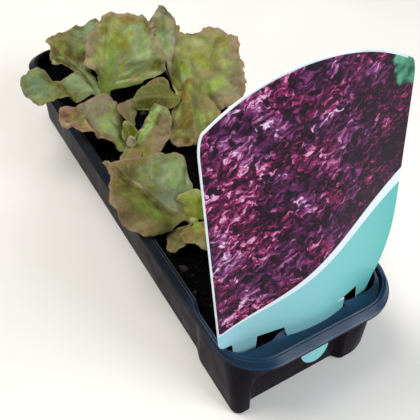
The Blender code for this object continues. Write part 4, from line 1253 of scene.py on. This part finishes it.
def make_leaf(bm, leaf, crown, cell, layers):
    """Lay one leaf's sheet of quads and give its points their colour and thickness."""
    across_steps = max(10, round(leaf["width"] / cell))
    along_steps = max(16, round(leaf["length"] / cell))
    made = bmesh.ops.create_grid(bm, x_segments=across_steps, y_segments=along_steps, size=1.0)
    places = midrib(leaf, crown)
    tint, blade_place, thickness = layers
    for vert in made["verts"]:
        along, across = (vert.co.y + 1) / 2, vert.co.x
        vert.co, flat = leaf_place(leaf, places, along, across)
        vert[tint] = leaf_colour(leaf, along, across, flat)
        vert[blade_place] = flat
        # A leaf is thickest along its midrib, most of all near its foot.
        stalk = math.exp(-(flat.x / 2.2) ** 2) * (1 - 0.75 * along)
        vert[thickness][0] = min(1.0, 0.2 + 0.8 * stalk)


def build_plant(name, crown, leaves, looks, blade_material, stem_material):
    """One plant: its leaves as one thin piece, and the stub of stem they grow from."""
    bm = bmesh.new()
    kinds = bm.verts.layers
    kinds.float_color.new("tint")
    kinds.float_vector.new("blade_place")
    kinds.deform.new("thickness")
    layers = (kinds.float_color["tint"], kinds.float_vector["blade_place"], kinds.deform.active)
    for number, values in enumerate(leaves):
        leaf = {**LEAF_DEFAULTS, **values, "level": number * LEAF_LEVEL_STEP}
        make_leaf(bm, leaf, crown, looks.cell_size / MM, layers)
    blades = finish_piece(bm, name + "_leaves", [blade_material], name)
    blades.vertex_groups.new(name="thickness")
    solidify = blades.modifiers.new("blade", "SOLIDIFY")
    solidify.thickness = looks.stalk_thickness
    solidify.offset = 0.0
    solidify.vertex_group = "thickness"
    stem = bmesh.new()
    x, y = crown
    bmesh.ops.create_cone(stem, cap_ends=True, segments=20, radius1=STEM_RADIUS,
                          radius2=STEM_RADIUS * 0.8, depth=STEM_TOP - STEM_FOOT)
    bmesh.ops.subdivide_edges(stem, edges=[edge for edge in stem.edges
                                           if abs(edge.verts[0].co.z - edge.verts[1].co.z) > 1],
                              cuts=6)
    for vert in stem.verts:
        bulge = 1 + 0.12 * noise.noise(vert.co * 0.6 + Vector((x, y, 0.0)))
        vert.co = (x + vert.co.x * bulge, y + vert.co.y * bulge,
                   (STEM_FOOT + STEM_TOP) / 2 + vert.co.z)
    finish_piece(stem, name + "_stem", [stem_material], name)


# Stage


def matt_painted_board(looks):
    """Painted board for the floor: matt, pale and very slightly uneven."""
    return clouded("matt_painted_board", {"Roughness": 0.85}, 220, 2.0,
                   ((0.3, looks.floor_colour), (0.7, "#F6F5F3")))


def build_floor(looks):
    bm = bmesh.new()
    bmesh.ops.create_grid(bm, x_segments=8, y_segments=8, size=4000.0)
    floor = add_mesh(bm, "floor")
    floor.data.materials.append(matt_painted_board(looks))


def add_light(name, place, size, power, colour):
    """A square soft light that faces the middle of the tray."""
    light = bpy.data.lights.new(name, "AREA")
    light.size = size
    light.energy = power
    light.color = linear(colour)[:3]
    lamp = add_object(name, light)
    lamp.location = place
    lamp.rotation_euler = (Vector(place) - Vector((0, 0, 0.05))).to_track_quat("Z", "Y").to_euler()


def add_camera():
    """The camera where the photograph was taken from."""
    forward = direction(CAMERA_AZIMUTH + 90.0, -CAMERA_ELEVATION)
    right, up = right_and_up(forward, CAMERA_ROLL)
    camera = add_object("camera", bpy.data.cameras.new("camera"))
    camera.data.lens = CAMERA_LENS
    camera.data.clip_start = 0.01
    matrix = Matrix((right, up, -forward)).transposed().to_4x4()
    matrix.translation = Vector(CAMERA_PLACE) * MM
    camera.matrix_world = matrix
    bpy.context.scene.camera = camera


def build_stage(looks):
    build_floor(looks)
    world = bpy.data.worlds.new("studio")
    world.use_nodes = True
    feed(world.node_tree.nodes["Background"], {"Color": "#F3F3F0",
                                               "Strength": looks.fill_strength})
    bpy.context.scene.world = world
    bpy.context.scene.view_settings.view_transform = "Standard"
    add_light("key_light", (-0.35, 0.35, 1.0), 0.7, looks.key_power, "#FFFBF4")
    add_light("front_light", (0.5, -0.8, 0.7), 0.6, looks.key_power * 0.78, "#F2F5FA")
    add_camera()


# Settings that a user may change


class TrayLooks(bpy.types.PropertyGroup):
    wall_colour: FloatVectorProperty(
        name="Wall", description="Colour of the clean outer wall", subtype="COLOR", size=4,
        default=linear("#0A0B18"))
    dust_colour: FloatVectorProperty(
        name="Dust", description="Colour of the dusty film on the walls", subtype="COLOR", size=4,
        default=linear("#1C1018"))
    # The navy painted on upward faces is a painted reflection, brighter at the near end than along
    # the sides.
    near_reflection_colour: FloatVectorProperty(
        name="Top", description="Colour of what looks up at the near end", subtype="COLOR", size=4,
        default=linear("#113959"))
    side_reflection_colour: FloatVectorProperty(
        name="Sides", description="Colour of the rim along the sides", subtype="COLOR", size=4,
        default=linear("#08111F"))
    edge_rounding: FloatProperty(
        name="Edge rounding", description="Radius that the forming leaves on every edge",
        default=0.0005, unit="LENGTH")


class CompostLooks(bpy.types.PropertyGroup):
    peat_colour: FloatVectorProperty(
        name="Peat", description="Colour of damp peat", subtype="COLOR", size=4,
        default=linear("#030203"))
    dry_colour: FloatVectorProperty(
        name="Dry peat", description="Colour of dried crumbs", subtype="COLOR", size=4,
        default=linear("#0A0707"))
    bark_colour: FloatVectorProperty(
        name="Bark", description="Colour of the bark chips", subtype="COLOR", size=4,
        default=linear("#180E0B"))
    crumbs: IntProperty(name="Crumbs", description="Number of loose crumbs", default=900)
    fibres: IntProperty(name="Fibres", description="Number of loose fibres", default=60)
    bark_chips: IntProperty(name="Bark chips", description="Number of bark chips", default=90)


class LabelLooks(bpy.types.PropertyGroup):
    card_colour: FloatVectorProperty(
        name="Card", description="Colour of the bare card and its border", subtype="COLOR", size=4,
        default=linear("#E6F2FA"))
    gap_colour: FloatVectorProperty(
        name="Gaps", description="Colour between the printed clumps", subtype="COLOR", size=4,
        default=linear("#1A0B1C"))
    lilac_colour: FloatVectorProperty(
        name="Lilac", description="Colour of the printed lilac frills", subtype="COLOR", size=4,
        default=linear("#B67AAC"))
    crimson_colour: FloatVectorProperty(
        name="Crimson", description="Colour of the printed crimson frills", subtype="COLOR",
        size=4, default=linear("#A4326E"))
    band_left_colour: FloatVectorProperty(
        name="Band, left", description="Colour of the band at its left end", subtype="COLOR",
        size=4, default=linear("#A2DAE6"))
    band_right_colour: FloatVectorProperty(
        name="Band, right", description="Colour of the band at its right end", subtype="COLOR",
        size=4, default=linear("#66C2BE"))
    border_width: FloatProperty(
        name="Border", description="Width of the white border", default=0.0008, unit="LENGTH")


class LeafLooks(bpy.types.PropertyGroup):
    vein_colour: FloatVectorProperty(
        name="Veins", description="Colour of the veins", subtype="COLOR", size=4,
        default=linear("#B8BE7C"))
    cell_size: FloatProperty(
        name="Cell size", description="Size of a leaf's quads", default=0.0009, unit="LENGTH")
    stalk_thickness: FloatProperty(
        name="Stalk thickness", description="Thickness of a leaf at its stalk",
        default=0.0022, unit="LENGTH")


class StageLooks(bpy.types.PropertyGroup):
    floor_colour: FloatVectorProperty(
        name="Floor", description="Colour of the floor", subtype="COLOR", size=4,
        default=linear("#ECEBE8"))
    key_power: FloatProperty(
        name="Key light", description="Power of the main light", default=10.0, unit="POWER")
    fill_strength: FloatProperty(
        name="Fill light", description="Strength of the light from all round", default=0.34)


# Operators


class MakeTray(bpy.types.Operator):
    """Make the vacuum-formed tray with its rim, ledge, slit, feet and drains"""
    bl_idname = "lettuce.make_tray"
    bl_label = "Make tray"

    def execute(self, context):
        build_tray(context.scene.lettuce_tray)
        return {"FINISHED"}


class MakeCompost(bpy.types.Operator):
    """Make the bed of peat with its crumbs, fibres and bark chips"""
    bl_idname = "lettuce.make_compost"
    bl_label = "Make compost"

    def execute(self, context):
        build_compost(context.scene.lettuce_compost)
        build_compost_crumbs(context.scene.lettuce_compost)
        return {"FINISHED"}


class MakeLabel(bpy.types.Operator):
    """Make the bowed picture label with its tabs and tongue"""
    bl_idname = "lettuce.make_label"
    bl_label = "Make label"

    def execute(self, context):
        build_label(context.scene.lettuce_label)
        return {"FINISHED"}


class MakePlants(bpy.types.Operator):
    """Make the seven lettuce plants"""
    bl_idname = "lettuce.make_plants"
    bl_label = "Make plants"

    def execute(self, context):
        looks = context.scene.lettuce_leaf
        blade_material = lettuce_blade(looks)
        stem_material = lettuce_stem()
        for name, (crown, leaves) in PLANTS.items():
            build_plant(name, crown, leaves, looks, blade_material, stem_material)
        return {"FINISHED"}


class MakeStage(bpy.types.Operator):
    """Make the floor, the lights and the camera"""
    bl_idname = "lettuce.make_stage"
    bl_label = "Make stage"

    def execute(self, context):
        build_stage(context.scene.lettuce_stage)
        return {"FINISHED"}


GROUPS = {
    "lettuce_tray": TrayLooks,
    "lettuce_compost": CompostLooks,
    "lettuce_label": LabelLooks,
    "lettuce_leaf": LeafLooks,
    "lettuce_stage": StageLooks,
}
OPERATORS = (MakeTray, MakeCompost, MakeLabel, MakePlants, MakeStage)


class LettucePanel(bpy.types.Panel):
    """Lists each group of settings with the button that makes its pieces"""
    bl_idname = "VIEW3D_PT_lettuce_tray"
    bl_label = "Lettuce tray"
    bl_space_type = "VIEW_3D"
    bl_region_type = "UI"
    bl_category = "Lettuce tray"

    def draw(self, context):
        for (setting, group), operator in zip(GROUPS.items(), OPERATORS):
            box = self.layout.box()
            for name in group.__annotations__:
                box.prop(getattr(context.scene, setting), name)
            box.operator(operator.bl_idname)


def register():
    for setting, group in GROUPS.items():
        bpy.utils.register_class(group)
        setattr(bpy.types.Scene, setting, PointerProperty(type=group))
    for operator in OPERATORS:
        bpy.utils.register_class(operator)
    bpy.utils.register_class(LettucePanel)


def unregister():
    bpy.utils.unregister_class(LettucePanel)
    for operator in reversed(OPERATORS):
        bpy.utils.unregister_class(operator)
    for setting, group in reversed(GROUPS.items()):
        delattr(bpy.types.Scene, setting)
        bpy.utils.unregister_class(group)


def main():
    register()
    bpy.ops.lettuce.make_tray()
    bpy.ops.lettuce.make_compost()
    bpy.ops.lettuce.make_label()
    bpy.ops.lettuce.make_plants()
    bpy.ops.lettuce.make_stage()


if __name__ == "__main__":
    main()
